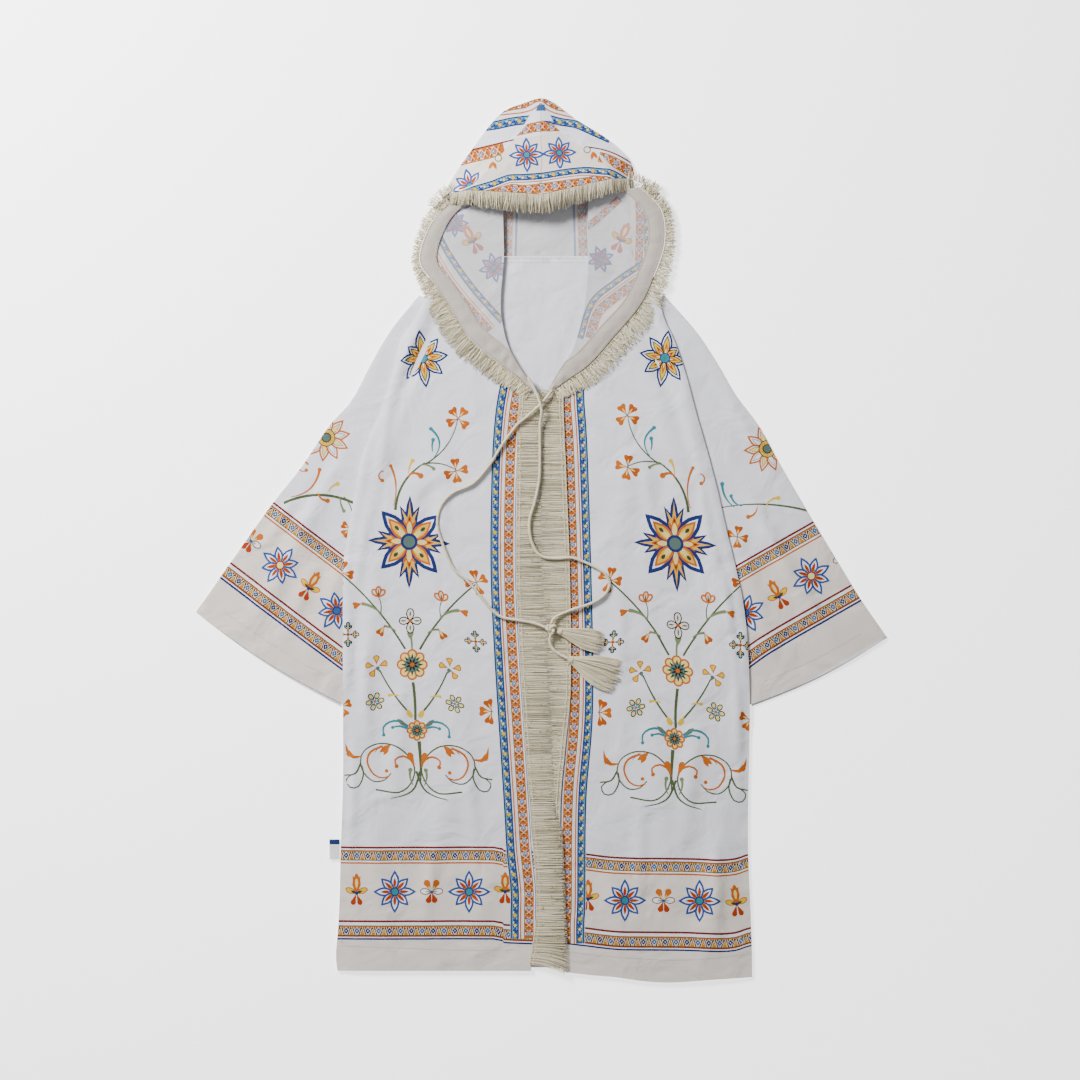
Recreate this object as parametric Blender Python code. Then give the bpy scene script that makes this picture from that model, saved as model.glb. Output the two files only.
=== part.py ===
"""Hooded kaftan laid flat on its back, front open, hood spread.

X runs across the garment, +Y runs from the hem to the hood, +Z is up from the
surface that it lies on. The origin is under the middle of its outline.
Sizes in the tables are millimetres, and each wall is one thickness of cloth.
Left and right are as seen from above, looking down on the front.
"""

import math

import bmesh
import bpy
from mathutils import Vector

MM = 0.001

# Cloth and how it stacks
CLOTH = 1.2
SEAM_GAP = 0.35
LAYER = CLOTH + SEAM_GAP
ON_FLOOR = 0.0
ON_BACK = LAYER
ON_SLEEVE = 2 * LAYER
ON_FRONT = 3 * LAYER
ON_HOOD_SIDE = 4 * LAYER

# Trim sizes
FACING_WIDTH = 21.0
TAPE_WIDTH = 5.0
TAPE_THICK = 1.0
LOCK_THICK = 0.9
CORD_DIAMETER = 4.0
LABEL_WIDTH = 13.0
LABEL_HEIGHT = 25.0
LABEL_THICK = 0.9
LABEL_TOP_Y = -374.0
LABEL_CLEAR = 1.2

# Heights along the body
NECK_Y = 354.0
HEM_Y = -538.0
BACK_HEM_Y = -534.0
UNDERARM_Y = -208.0
SLEEVE_TUCK = 6.0
SIDE_CURL_WIDTH = 26.0
SIDE_CURL_STARTS = UNDERARM_Y - 8.0
SIDE_CURL_EASE = 34.0
SHOULDER_CURL_Y = 330.0
SHOULDER_CURL_EASE = 20.0
EDGE_HOLD = 14.0

# How many cells each wall has
FRONT_ROWS = 29
FRONT_COLUMNS = 10
SLEEVE_ROWS = 13
SLEEVE_ACROSS = 8
CROWN_ROWS = 10
CROWN_CELLS = 3
SIDE_COLUMNS = 5
FACING_COLUMNS = 2

# The body at each height: its two side edges and the two edges of the front opening
BODY = (
    # y, left_side, left_opening, right_opening, right_side
    (354, -137, -52, 62, 137),
    (322, -141, -54, 61, 141),
    (296, -148, -55, 59, 147),
    (271, -161, -54, 52, 155),
    (252, -176, -47, 46, 165),
    (220, -184, -38, 33, 176),
    (185, -193, -25, 24, 186),
    (162, -202, -26, 24, 192),
    (127, -216, -28, 25, 202),
    (99, -226, -28, 27, 210),
    (60, -233, -28, 28, 220),
    (25, -239, -29, 30, 228),
    (-25, -247, -29, 31, 240),
    (-75, -248, -27, 32, 251),
    (-125, -248, -25, 32, 257),
    (-208, -248, -20, 31, 260),
    (-288, -248, -15, 23.5, 259),
    (-335, -249, -12, 20.5, 258),
    (-388, -251, -7, 20, 258),
    (-438, -252, -5, 23, 260),
    (-484, -254, -6, 24, 262),
    (-519, -257, -11, 26, 263),
    (-538, -255, -13, 27, 263),
)

# How far the right front's hem hangs below the left one's, across its width
RIGHT_HEM = (
    # x, drop
    (20, 0),
    (58, 5),
    (94, 8),
    (128, 13),
    (163, 14.5),
    (215, 11),
    (263, 8),
)
HEM_DROP_STARTS = -300.0

# The folded upper edge of each sleeve, from the shoulder to the cuff
LEFT_SLEEVE_EDGE = (
    # x, y
    (-153, 306),
    (-189, 262),
    (-214, 219),
    (-238, 174),
    (-264, 145),
    (-300, 92),
    (-337, 45),
    (-391, -31),
    (-432, -90),
)
RIGHT_SLEEVE_EDGE = (
    # x, y
    (153, 306),
    (192, 262),
    (220, 220),
    (242, 182),
    (272, 142),
    (300, 91),
    (338, 26),
    (373, -32),
    (400, -76),
    (432, -122),
)
SHOULDER_SEAM_Y = 300.0
CUFF_BOW = 6.0
CUFF_BOW_OUT = 0.4
UNDERARM_STEP = 2.0
SEAM_SAMPLES = 60
FOLD_ANGLES = (-45, 0, 45)
SEAM_HOLD = 0.3
FOLD_HOLD = 0.2

# The hood's lower layer, flat on the surface
HOOD_BACK = (
    # y, left, right
    (551.5, -8, 6),
    (546, -22, 17),
    (536, -46, 30),
    (526, -57, 42),
    (504, -75, 77),
    (487, -86, 98),
    (466, -102, 110),
    (430, -124, 120),
    (387, -127, 129),
    (354.4, -133, 133),
)

# The hood's crown from its peak to its lip: two outer folds, two creases, the seam between
CROWN = (
    # left_x, left_y, crease_x, crease_y, seam_x, seam_y, crease_x, crease_y, right_x, right_y, rise
    (-12, 549, -6, 550.5, -1, 552.5, 4, 551, 10, 549, 1),
    (-47, 536, -11, 529, -1, 531, 12, 525, 42, 526, 4),
    (-71, 510, -34, 501, -1, 507, 32, 500, 78, 504, 9),
    (-88, 486, -48, 481, 0, 481, 58, 484, 99, 487, 15),
    (-106, 461, -68, 459, 0, 455, 80, 467, 112, 471, 20),
    (-123, 431, -92, 435, 1, 429, 87, 449, 117, 452, 24),
)
CREASE_SHARE = 0.78
FLANK_FIRST = 0.15
FLANK_SPAN = 0.7

# Each side of the hood, folded outward, from the lip to the point of the V: its free edge,
# its inner fold, how far it stands above the layer below, and the reach of its fringe
LEFT_SIDE = (
    # edge_x, edge_y, fold_x, fold_y, lift, fringe
    (-114, 420, -48, 425, 1.5, 12),
    (-138, 394, -48, 400, 1.0, 12),
    (-152, 349, -47, 357, 0.0, 10),
    (-131, 317, -49, 328, 0.0, 20),
    (-113, 289, -51, 305, 0.0, 26),
    (-91, 254, -50, 277, 0.0, 26),
    (-54, 222, -42, 243, 0.0, 24),
    (-33, 206.5, -25.5, 213, 0.0, 20),
    (-12, 187.5, -8.5, 190.5, 0.0, 14),
)
RIGHT_SIDE = (
    # edge_x, edge_y, fold_x, fold_y, lift, fringe
    (122, 440, 58, 430, 1.5, 12),
    (149, 411, 58, 402, 1.0, 12),
    (153, 371, 58, 370, 0.0, 14),
    (140, 330, 58, 338, 0.0, 20),
    (122, 292, 56, 312, 0.0, 26),
    (90, 254, 52, 284, 0.0, 26),
    (60, 220, 40.5, 241, 0.0, 24),
    (36, 202.5, 25, 216.5, 0.0, 20),
    (12, 185.5, 9, 189.5, 0.0, 14),
)

# Soft folds of the fronts and sleeves: ridges that rise above the layer below
FOLDS = (
    # x, y, heading in degrees, half_length, half_width, rise
    (-212, -90, 86, 120, 13, 2.6),
    (-158, 60, 70, 80, 16, 1.8),
    (-120, -330, 84, 120, 18, 2.0),
    (-205, -400, 96, 80, 15, 2.8),
    (-176, 150, 66, 60, 12, 2.2),
    (-75, -455, 80, 55, 14, 1.8),
    (222, -110, 96, 110, 13, 2.8),
    (158, 130, 108, 70, 16, 2.4),
    (150, -330, 95, 110, 19, 2.2),
    (215, -430, 84, 80, 16, 3.2),
    (96, -470, 100, 55, 14, 2.0),
    (105, 60, 84, 90, 16, 1.6),
    (-300, 0, 58, 70, 12, 2.8),
    (-345, -75, 50, 55, 11, 2.2),
    (-262, -70, 72, 60, 10, 2.4),
    (300, -20, 122, 70, 12, 2.8),
    (345, -95, 128, 55, 11, 2.2),
    (272, -100, 110, 60, 10, 2.4),
)

# Fringe: a row for each strand group, from one end of its tape to the other
LEFT_FRINGE = (
    # root_x, y, tip_x, tip_rise
    (-28, 168, -2, -1.2),
    (-31, 134, -3, -1.2),
    (-31, 75, -3, -1.2),
    (-32, -37, 0, -1.2),
    (-27, -150, 6, -1.2),
    (-21, -250, 10.5, -1.2),
    (-16, -318, 13, -1.2),
    (-14, -343, 15, 1.9),
    (-13, -362, 22, 1.9),
    (-8, -410, 25, 1.9),
    (-7, -470, 27, 1.9),
    (-12, -512, 29, 1.9),
    (-15, -530, 30, 1.9),
)
RIGHT_FRINGE = (
    # root_x, y, tip_x, tip_rise
    (27, 172, 0, -1.2),
    (28, 142, -1, -1.2),
    (30, 100, 0, -1.2),
    (35, -37, 2, -1.2),
    (36, -187, 11, -1.2),
    (28, -275, 14.5, -1.2),
    (24, -318, 15, -1.2),
    (23, -345, 12, -1.2),
    (23, -394, 12, -1.2),
    (26, -437, 14, -1.2),
    (28, -500, 16, -1.2),
    (30, -536, 18, -1.2),
)
FRONT_LOCKS = 46
SIDE_LOCKS = 20
TOP_LOCKS = 16
ROOT_SPAN = (0.06, 0.86)
LOCK_CENTRE = sum(ROOT_SPAN) / 2
LOCK_FILL = 0.72
MIDDLE_AT = 0.72
MIDDLE_RISE = 0.9
LOCK_DROOP = 1.2
LOCK_OVER = 1.9
TIP_GAP = 0.8
TIP_SWAY = 1.3
HEM_LOCK_LEAN = 14.0
HEM_LEAN_STARTS = -500.0
HEM_LEAN_EASE = 30.0
SIDE_TAPE_WIDTH = 4.0
SIDE_TAPE_GAP = 0.8
SIDE_TIP_SWAY = 2.0
LIP_FRINGE = (0.05, 0.95)
TOP_LOCK_LENGTH = 20.0
TOP_LOCK_WIDTH = 9.0
TOP_LOCK_SHORTEST = 0.55
TOP_LOCK_DROP = 9.0
TOP_LOCK_FLOOR = ON_HOOD_SIDE + 3.6

# The drawstring: the middle of each cord, from the hood's facing to the knot
LEFT_CORD = (
    # x, y, z
    (-17, 203, 9.9),
    (-9, 188, 11.4),
    (-3, 174, 13.6),
    (0, 160, 13.0),
    (-2, 142, 8.6),
    (-2, 106, 7.4),
    (-3, 75, 7.4),
    (-9, 46, 7.6),
    (-15, 24, 7.8),
    (-13, 0, 7.8),
    (-2, -19, 7.6),
    (17, -23, 7.8),
    (37, -22, 8.3),
    (52, -27, 7.6),
    (67, -34, 7.0),
    (79, -42, 6.9),
    (85, -55, 6.9),
    (78, -69, 6.9),
    (62, -79, 7.2),
    (38, -87, 8.3),
    (21, -94, 8.6),
    (14, -99.5, 9.8),
    (12.3, -104.2, 10.8),
)
RIGHT_CORD = (
    # x, y, z
    (13, 187, 9.9),
    (4, 175, 9.3),
    (-6, 165, 8.6),
    (-18, 154, 8.3),
    (-31, 143, 8.3),
    (-49, 119, 7.2),
    (-64, 95, 6.9),
    (-85, 71, 6.9),
    (-112, 58, 6.9),
    (-126, 41, 6.9),
    (-130, 20, 6.9),
    (-125, 0, 6.9),
    (-116, -24, 6.9),
    (-107, -39, 6.9),
    (-96, -48, 6.9),
    (-86, -58, 6.9),
    (-64, -85, 6.9),
    (-50, -96, 7.2),
    (-29, -100, 8.3),
    (-8, -104, 8.6),
    (4.1, -108.6, 10.5),
)
TAIL_CORD = (
    # x, y, z
    (11.6, -117, 10.0),
    (10, -126, 8.6),
    (13, -134, 8.2),
    (20, -141, 8.6),
    (32.5, -147.8, 9.8),
)
CORD_STEP = 10.0
KNOT_CENTRE = (12, -111, 11.6)
KNOT_SIZE = (7.5, 6.5, 5.2)
KNOT_WAIST_DEPTH = 0.16
KNOT_WAIST_WIDTH = 0.25
KNOT_SEGMENTS = 12
KNOT_RINGS = 8

# Tassels: the head's start, the skirt's end and its spread
TASSELS = (
    # name, head_x, head_y, end_x, end_y, end_width, head_width, base_z, end_z
    ("tassel_upper", 19.4, -112.7, 76, -129, 27, 9, 10.2, 6.6),
    ("tassel_lower", 33, -148, 96, -172, 42, 10, 9.8, 7.0),
)
TASSEL_HEAD = 14.0
TASSEL_THICK = 7.4
TASSEL_LOCKS = 6
TASSEL_ROOT_SPAN = (0.1, 0.9)
TASSEL_NECK_SHARE = 0.7
TASSEL_LAYER_GAP = 4.6
TASSEL_LAYER_SHIFT = 0.06
TASSEL_LOCK_THICK = 2.4
TASSEL_LOCK_FILL = 0.6
TASSEL_MIDDLE_SPREAD = 0.8
TASSEL_SWAY = 3.0

# Colours of the plain solids
WHITE_CLOTH = (0.68, 0.69, 0.72, 1.0)
CREAM_CLOTH = (0.62, 0.58, 0.55, 1.0)
PRINTED_CLOTH = (0.55, 0.52, 0.50, 1.0)
FRINGE_YARN = (0.60, 0.56, 0.46, 1.0)
LABEL_WHITE = (0.80, 0.80, 0.80, 1.0)


def column(table, index):
    return [row[index] for row in table]


def between(table, key, index):
    """A column of a table whose first column falls or rises, read at key with smooth tangents."""
    keys = column(table, 0)
    falling = keys[0] > keys[-1]
    if falling:
        table = table[::-1]
        keys = keys[::-1]
    key = min(max(key, keys[0]), keys[-1])
    at = max(i for i in range(len(keys) - 1) if keys[i] <= key)
    share = (key - keys[at]) / (keys[at + 1] - keys[at])
    return spline_value(column(table, index), at, share)


def spline_value(values, at, share):
    """A Catmull-Rom curve through values, at a share of the step after values[at]."""
    p1, p2 = values[at], values[at + 1]
    p0 = values[at - 1] if at else 2 * p1 - p2
    p3 = values[at + 2] if at + 2 < len(values) else 2 * p2 - p1
    slope_1 = 0.5 * (p2 - p0)
    slope_2 = 0.5 * (p3 - p1)
    a = 2 * share**3 - 3 * share**2 + 1
    b = share**3 - 2 * share**2 + share
    c = -2 * share**3 + 3 * share**2
    d = share**3 - share**2
    return a * p1 + b * slope_1 + c * p2 + d * slope_2


def row_at(table, share):
    """All columns of a table at a share of its length, counted in rows."""
    place = min(max(share, 0.0), 1.0) * (len(table) - 1)
    at = min(int(place), len(table) - 2)
    return [spline_value(column(table, i), at, place - at) for i in range(len(table[0]))]


def along_line(points, share):
    """A point at a share of the length of a line of (x, y) points, rounded between them."""
    lengths = [math.dist(a, b) for a, b in zip(points, points[1:])]
    target = min(max(share, 0.0), 1.0) * sum(lengths)
    at = 0
    while at < len(lengths) - 1 and target > lengths[at]:
        target -= lengths[at]
        at += 1
    step = min(target / lengths[at], 1.0)
    return tuple(spline_value(column(points, i), at, step) for i in range(len(points[0])))


def ease(value):
    """A soft step from 0 to 1."""
    value = min(max(value, 0.0), 1.0)
    return value * value * (3 - 2 * value)


def fold_height(x, y):
    """How far the folds lift the cloth at a place."""
    total = 0.0
    for fold_x, fold_y, heading, half_length, half_width, rise in FOLDS:
        turn = math.radians(heading)
        along = (x - fold_x) * math.cos(turn) + (y - fold_y) * math.sin(turn)
        across = (y - fold_y) * math.cos(turn) - (x - fold_x) * math.sin(turn)
        total += rise * math.exp(-((along / half_length) ** 2) - (across / half_width) ** 2)
    return total


def body_edge(y, index):
    return between(BODY, y, index)


def front_bottom(x, y):
    """The underside of a front panel: it curls down to the back along the side seam and the shoulder."""
    side = body_edge(y, 1) if x < 0 else body_edge(y, 4)
    from_side = abs(side - x)
    below_arm = ease((SIDE_CURL_STARTS - y) / SIDE_CURL_EASE)
    curl = below_arm * (1 - ease(from_side / SIDE_CURL_WIDTH))
    shoulder = ease((y - SHOULDER_CURL_Y) / SHOULDER_CURL_EASE)
    held = ease(from_side / EDGE_HOLD)
    return ON_SLEEVE - LAYER * max(curl, shoulder) + fold_height(x, y) * held


def right_hem_drop(x, y):
    share = ease((HEM_DROP_STARTS - y) / (HEM_DROP_STARTS - HEM_Y))
    return between(RIGHT_HEM, x, 1) * share


def new_object(name, mesh, colour):
    material = bpy.data.materials.new(name + "_cloth")
    material.use_nodes = True
    shader = material.node_tree.nodes["Principled BSDF"]
    shader.inputs["Base Color"].default_value = colour
    shader.inputs["Roughness"].default_value = 0.9
    shader.inputs["Metallic"].default_value = 0.0
    mesh.materials.append(material)
    obj = bpy.data.objects.new(name, mesh)
    bpy.context.scene.collection.objects.link(obj)
    return obj


def finish_mesh(name, solid, colour):
    """Turns a bmesh into an object whose faces point outward."""
    bmesh.ops.recalc_face_normals(solid, faces=solid.faces)
    mesh = bpy.data.meshes.new(name)
    solid.to_mesh(mesh)
    solid.free()
    mesh.shade_smooth()
    mesh.set_sharp_from_angle(angle=math.radians(40))
    return new_object(name, mesh, colour)


def wall(name, lower, upper, colour):
    """A sheet of cloth: two grids of points, one for each face, joined all round their edges."""
    solid = bmesh.new()
    rows = len(lower)
    columns = len(lower[0])
    faces = []
    for grid in (lower, upper):
        faces.append([[solid.verts.new(Vector(p) * MM) for p in row] for row in grid])
    low, high = faces
    for r in range(rows - 1):
        for c in range(columns - 1):
            for grid in faces:
                solid.faces.new((grid[r][c], grid[r][c + 1], grid[r + 1][c + 1], grid[r + 1][c]))
    for r in range(rows - 1):
        for c in (0, columns - 1):
            solid.faces.new((low[r][c], low[r + 1][c], high[r + 1][c], high[r][c]))
    for c in range(columns - 1):
        for r in (0, rows - 1):
            solid.faces.new((low[r][c], low[r][c + 1], high[r][c + 1], high[r][c]))
    return finish_mesh(name, solid, colour)


def raised(grid, height):
    return [[(x, y, z + height) for x, y, z in row] for row in grid]


def flat_panel(name, table, colour):
    """A panel that lies on the surface, from rows of y, left and right."""
    lower = [[(left, y, ON_FLOOR), (right, y, ON_FLOOR)] for y, left, right in table]
    return wall(name, lower, raised(lower, CLOTH), colour)


def armhole_seam(side_index):
    """The seam between body and sleeve: one point for each section of the sleeve."""
    step = (SHOULDER_SEAM_Y - UNDERARM_Y) / SEAM_SAMPLES
    heights = [SHOULDER_SEAM_Y - step * i for i in range(SEAM_SAMPLES + 1)]
    line = [(body_edge(y, side_index), y) for y in heights]
    return [along_line(line, r / (SLEEVE_ROWS - 1)) for r in range(SLEEVE_ROWS)]


def back_edge(y, side_index, seam):
    """The back's edge: straight between the seam's points beside a sleeve, the body's edge elsewhere."""
    for (x1, y1), (x2, y2) in zip(seam, seam[1:]):
        if y2 <= y <= y1:
            return x1 + (x2 - x1) * (y1 - y) / (y1 - y2)
    return body_edge(y, side_index)


def build_back():
    left_seam = armhole_seam(1)
    right_seam = armhole_seam(4)
    heights = {round(y, 4) for _, y in left_seam + right_seam}
    heights |= {y for y, *_ in BODY if y > SHOULDER_SEAM_Y or BACK_HEM_Y < y < UNDERARM_Y}
    heights.add(BACK_HEM_Y)
    rows = [
        (y, back_edge(y, 1, left_seam), back_edge(y, 4, right_seam))
        for y in sorted(heights, reverse=True)
    ]
    flat_panel("back", rows, WHITE_CLOTH)


def build_hood_back():
    flat_panel("hood_back", HOOD_BACK, WHITE_CLOTH)


def build_front(name, outer_index, inner_index):
    """A front panel: rows from the shoulder to the hem, columns from the side to the opening."""
    right = outer_index == 4
    lower = []
    for r in range(FRONT_ROWS):
        y = NECK_Y + (HEM_Y - NECK_Y) * r / (FRONT_ROWS - 1)
        outer = body_edge(y, outer_index)
        inner = body_edge(y, inner_index)
        row = []
        for c in range(FRONT_COLUMNS):
            x = outer + (inner - outer) * c / (FRONT_COLUMNS - 1)
            drop = right_hem_drop(x, y) if right else 0.0
            row.append((x, y - drop, front_bottom(x, y)))
        lower.append(row)
    wall(name, lower, raised(lower, CLOTH), WHITE_CLOTH)


def sleeve_section(upper, seam_low, seam_high, share):
    """One section across a sleeve, from the armhole under it, round the fold and back over it."""
    radius = LAYER / 2 + CLOTH / 2
    inner_radius = SEAM_GAP / 2
    outer_points = []
    inner_points = []
    reach = math.dist(upper, seam_low)
    out_x = (upper[0] - seam_low[0]) / reach
    out_y = (upper[1] - seam_low[1]) / reach
    centre = (upper[0] - out_x * radius, upper[1] - out_y * radius)
    bow = CUFF_BOW * share**3

    def place(seam, part):
        """A point between the seam and the fold, bowed along the sleeve near the cuff."""
        lift = bow * math.sin(math.pi * part)
        side = -1 if upper[0] < 0 else 1
        x = seam[0] + (centre[0] - seam[0]) * part
        y = seam[1] + (centre[1] - seam[1]) * part
        return x + side * lift * CUFF_BOW_OUT, y - lift

    for step in range(SLEEVE_ACROSS + 1):
        x, y = place(seam_low, step / SLEEVE_ACROSS)
        outer_points.append((x, y, 0.0))
        inner_points.append((x, y, CLOTH))
    for angle in FOLD_ANGLES:
        turn = math.radians(angle)
        reach_x = out_x * math.cos(turn)
        reach_y = out_y * math.cos(turn)
        height = radius * (1 + math.sin(turn))
        inner_height = radius + inner_radius * math.sin(turn)
        x, y = centre
        outer_points.append((x + radius * reach_x, y + radius * reach_y, height))
        inner_points.append((x + inner_radius * reach_x, y + inner_radius * reach_y, inner_height))
    for step in range(SLEEVE_ACROSS, -1, -1):
        part = step / SLEEVE_ACROSS
        x, y = place(seam_high, part)
        held = ease(part / SEAM_HOLD) * ease((1 - part) / FOLD_HOLD)
        z = ON_BACK + fold_height(x, y) * held
        outer_points.append((x, y, z + CLOTH))
        inner_points.append((x, y, z))
    return outer_points, inner_points


def build_sleeve(name, edge, side_index):
    """A sleeve pressed flat: its wall goes under, round its upper fold and over, open at both ends."""
    outward = -1 if side_index == 1 else 1
    outer = []
    inner = []
    for r, (seam_x, seam_y) in enumerate(armhole_seam(side_index)):
        share = r / (SLEEVE_ROWS - 1)
        upper = along_line(edge, share)
        seam_low = (seam_x + outward * (SEAM_GAP + UNDERARM_STEP * share), seam_y)
        seam_high = (seam_x - outward * SLEEVE_TUCK, seam_y)
        outer_row, inner_row = sleeve_section(upper, seam_low, seam_high, share)
        outer.append(outer_row)
        inner.append(inner_row)
    wall(name, outer, inner, WHITE_CLOTH)


def crown_height(row, station, part):
    """How high the crown stands: nothing at its outer folds, most of its rise at the creases."""
    rise = row[-1]
    if station == 1:
        return rise * (CREASE_SHARE + (1 - CREASE_SHARE) * math.sin(0.5 * math.pi * part))
    if part == 0:
        return 0.0
    return rise * CREASE_SHARE * ease(FLANK_FIRST + FLANK_SPAN * part)


def crown_grid(left):
    """The underside of one half of the crown, from its outer fold to the seam."""
    stations = ((0, 1), (2, 3), (4, 5)) if left else ((8, 9), (6, 7), (4, 5))
    gap = -SEAM_GAP / 2 if left else SEAM_GAP / 2
    grid = []
    for r in range(CROWN_ROWS):
        row = row_at(CROWN, r / (CROWN_ROWS - 1))
        points = []
        for station in (0, 1):
            x0, y0 = (row[i] for i in stations[station])
            x1, y1 = (row[i] for i in stations[station + 1])
            for cell in range(CROWN_CELLS + station):
                part = cell / CROWN_CELLS
                x = x0 + (x1 - x0) * part
                y = y0 + (y1 - y0) * part
                at_seam = station == 1 and cell == CROWN_CELLS
                z = ON_BACK + crown_height(row, station, part)
                points.append((x + gap * at_seam, y, z))
        grid.append(points)
    return grid


def build_crown():
    for side, left in (("left", True), ("right", False)):
        lower = crown_grid(left)
        wall("hood_crown_" + side, lower, raised(lower, CLOTH), PRINTED_CLOTH)


def hood_side_grid(table, columns, most_width, height):
    """Rows of a hood side from its free edge inward, across at most most_width of it."""
    grid = []
    for r in range(SIDE_LOCKS + 1):
        edge_x, edge_y, fold_x, fold_y, lift, _ = row_at(table, r / SIDE_LOCKS)
        share = min(most_width / math.dist((edge_x, edge_y), (fold_x, fold_y)), 1.0)
        row = []
        for c in range(columns):
            part = share * c / (columns - 1)
            x = edge_x + (fold_x - edge_x) * part
            y = edge_y + (fold_y - edge_y) * part
            row.append((x, y, height + lift))
        grid.append(row)
    return grid


def build_hood_side(side, table):
    lower = hood_side_grid(table, SIDE_COLUMNS, math.inf, ON_FRONT)
    wall("hood_side_" + side, lower, raised(lower, CLOTH), PRINTED_CLOTH)
    lower = hood_side_grid(table, FACING_COLUMNS, FACING_WIDTH, ON_HOOD_SIDE)
    wall("facing_" + side, lower, raised(lower, CLOTH), CREAM_CLOTH)


def cell(first, second, level):
    """The face between two columns of points, from one level to the next."""
    return first[level], second[level], second[level + 1], first[level + 1]


def comb(name, stations, layers, colour):
    """A tape or head with strands that grow from its front face.

    Each station is a dict: back and front are the tape's two edges (x, y), z is its underside,
    thick its height, and a strand has middle and tip, each x, y, z, wide and high. Stations come
    in pairs, one for each side of a strand, and the cells between pairs are plain tape.
    """
    solid = bmesh.new()
    levels = 2 * layers
    rings = []
    for station in stations:
        ring = {}
        for edge in ("back", "front"):
            x, y = station[edge]
            heights = [station["z"] + station["thick"] * i / (levels - 1) for i in range(levels)]
            ring[edge] = [solid.verts.new(Vector((x, y, z)) * MM) for z in heights]
        rings.append(ring)
    for i in range(len(rings) - 1):
        a, b = rings[i], rings[i + 1]
        solid.faces.new((a["back"][0], b["back"][0], b["front"][0], a["front"][0]))
        solid.faces.new((a["back"][-1], b["back"][-1], b["front"][-1], a["front"][-1]))
        for level in range(levels - 1):
            solid.faces.new(cell(a["back"], b["back"], level))
            front = cell(a["front"], b["front"], level)
            if i % 2 == 0 and level % 2 == 0:
                grow_strand(solid, front, stations[i], level // 2)
            else:
                solid.faces.new(front)
    for ring in (rings[0], rings[-1]):
        for level in range(levels - 1):
            solid.faces.new(cell(ring["back"], ring["front"], level))
    return finish_mesh(name, solid, colour)


def grow_strand(solid, root, station, layer):
    """A strand of four sides from a root face, through its middle, to a point."""
    middle = station["middle"][layer]
    tip = station["tip"][layer]
    along = (Vector(tip[:2]) - Vector(middle[:2])).normalized()
    across = Vector((-along.y, along.x))
    first = Vector((root[0].co.x, root[0].co.y))
    second = Vector((root[1].co.x, root[1].co.y))
    if (second - first).dot(across) < 0:
        across = -across
    x, y, z, wide, high = middle
    corners = []
    for side, level in ((-1, -1), (1, -1), (1, 1), (-1, 1)):
        place = Vector((x, y)) + across * side * wide / 2
        corners.append(solid.verts.new(Vector((place.x, place.y, z + level * high / 2)) * MM))
    point = solid.verts.new(Vector(tip[:3]) * MM)
    for i in range(4):
        j = (i + 1) % 4
        solid.faces.new((root[i], root[j], corners[j], corners[i]))
        solid.faces.new((corners[i], corners[j], point))


def lock_sway(index, amount):
    """Strands lie a little unevenly."""
    return amount * math.sin(2.4 * index + 0.9 * math.sin(1.7 * index))


def build_front_fringe(side, table):
    """Fringe across the front opening: its tape lies on the front's edge, its locks reach the middle."""
    inward = 1 if side == "left" else -1
    first = table[0][1]
    pitch = (table[-1][1] - first) / FRONT_LOCKS
    rows = [(y, root_x, tip_x, rise) for root_x, y, tip_x, rise in table]
    stations = []
    for index in range(FRONT_LOCKS):
        y = first + pitch * (index + LOCK_CENTRE)
        root_x = between(rows, y, 1) + inward * TAPE_WIDTH
        tip_x = between(rows, y, 2) - inward * (TIP_GAP + abs(lock_sway(index, TIP_SWAY)))
        rise = min(max(between(rows, y, 3), -LOCK_DROOP), LOCK_OVER)
        lean = 0.0
        if side == "left":
            lean = -HEM_LOCK_LEAN * ease((HEM_LEAN_STARTS - y) / HEM_LEAN_EASE)
        z = ON_FRONT + LOCK_THICK / 2
        middle_x = root_x + MIDDLE_AT * (tip_x - root_x)
        middle_z = z + MIDDLE_RISE * rise
        middle = (middle_x, y + MIDDLE_AT * lean, middle_z, abs(pitch) * LOCK_FILL, LOCK_THICK)
        tip = (tip_x, y + lock_sway(index, TIP_SWAY) + lean, z + rise)
        for edge in ROOT_SPAN:
            edge_y = first + pitch * (index + edge)
            edge_x = between(rows, edge_y, 1)
            stations.append(
                {
                    "back": (edge_x, edge_y),
                    "front": (edge_x + inward * TAPE_WIDTH, edge_y),
                    "z": ON_FRONT,
                    "thick": TAPE_THICK,
                    "middle": [middle],
                    "tip": [tip],
                }
            )
    comb("fringe_front_" + side, stations, 1, FRINGE_YARN)


def side_edge(table, index, share):
    """A hood side's free edge between two rows: point, way out, lift, fringe reach and row spacing."""
    start = row_at(table, index / SIDE_LOCKS)
    end = row_at(table, (index + 1) / SIDE_LOCKS)
    x, y, _, _, lift, reach = (a + (b - a) * share for a, b in zip(start, end))
    along = Vector((end[0] - start[0], end[1] - start[1]))
    turn = 1 if table[0][0] > 0 else -1
    outward = Vector((-along.y, along.x)).normalized() * turn
    return Vector((x, y)), outward, lift, reach, along.length


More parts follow.
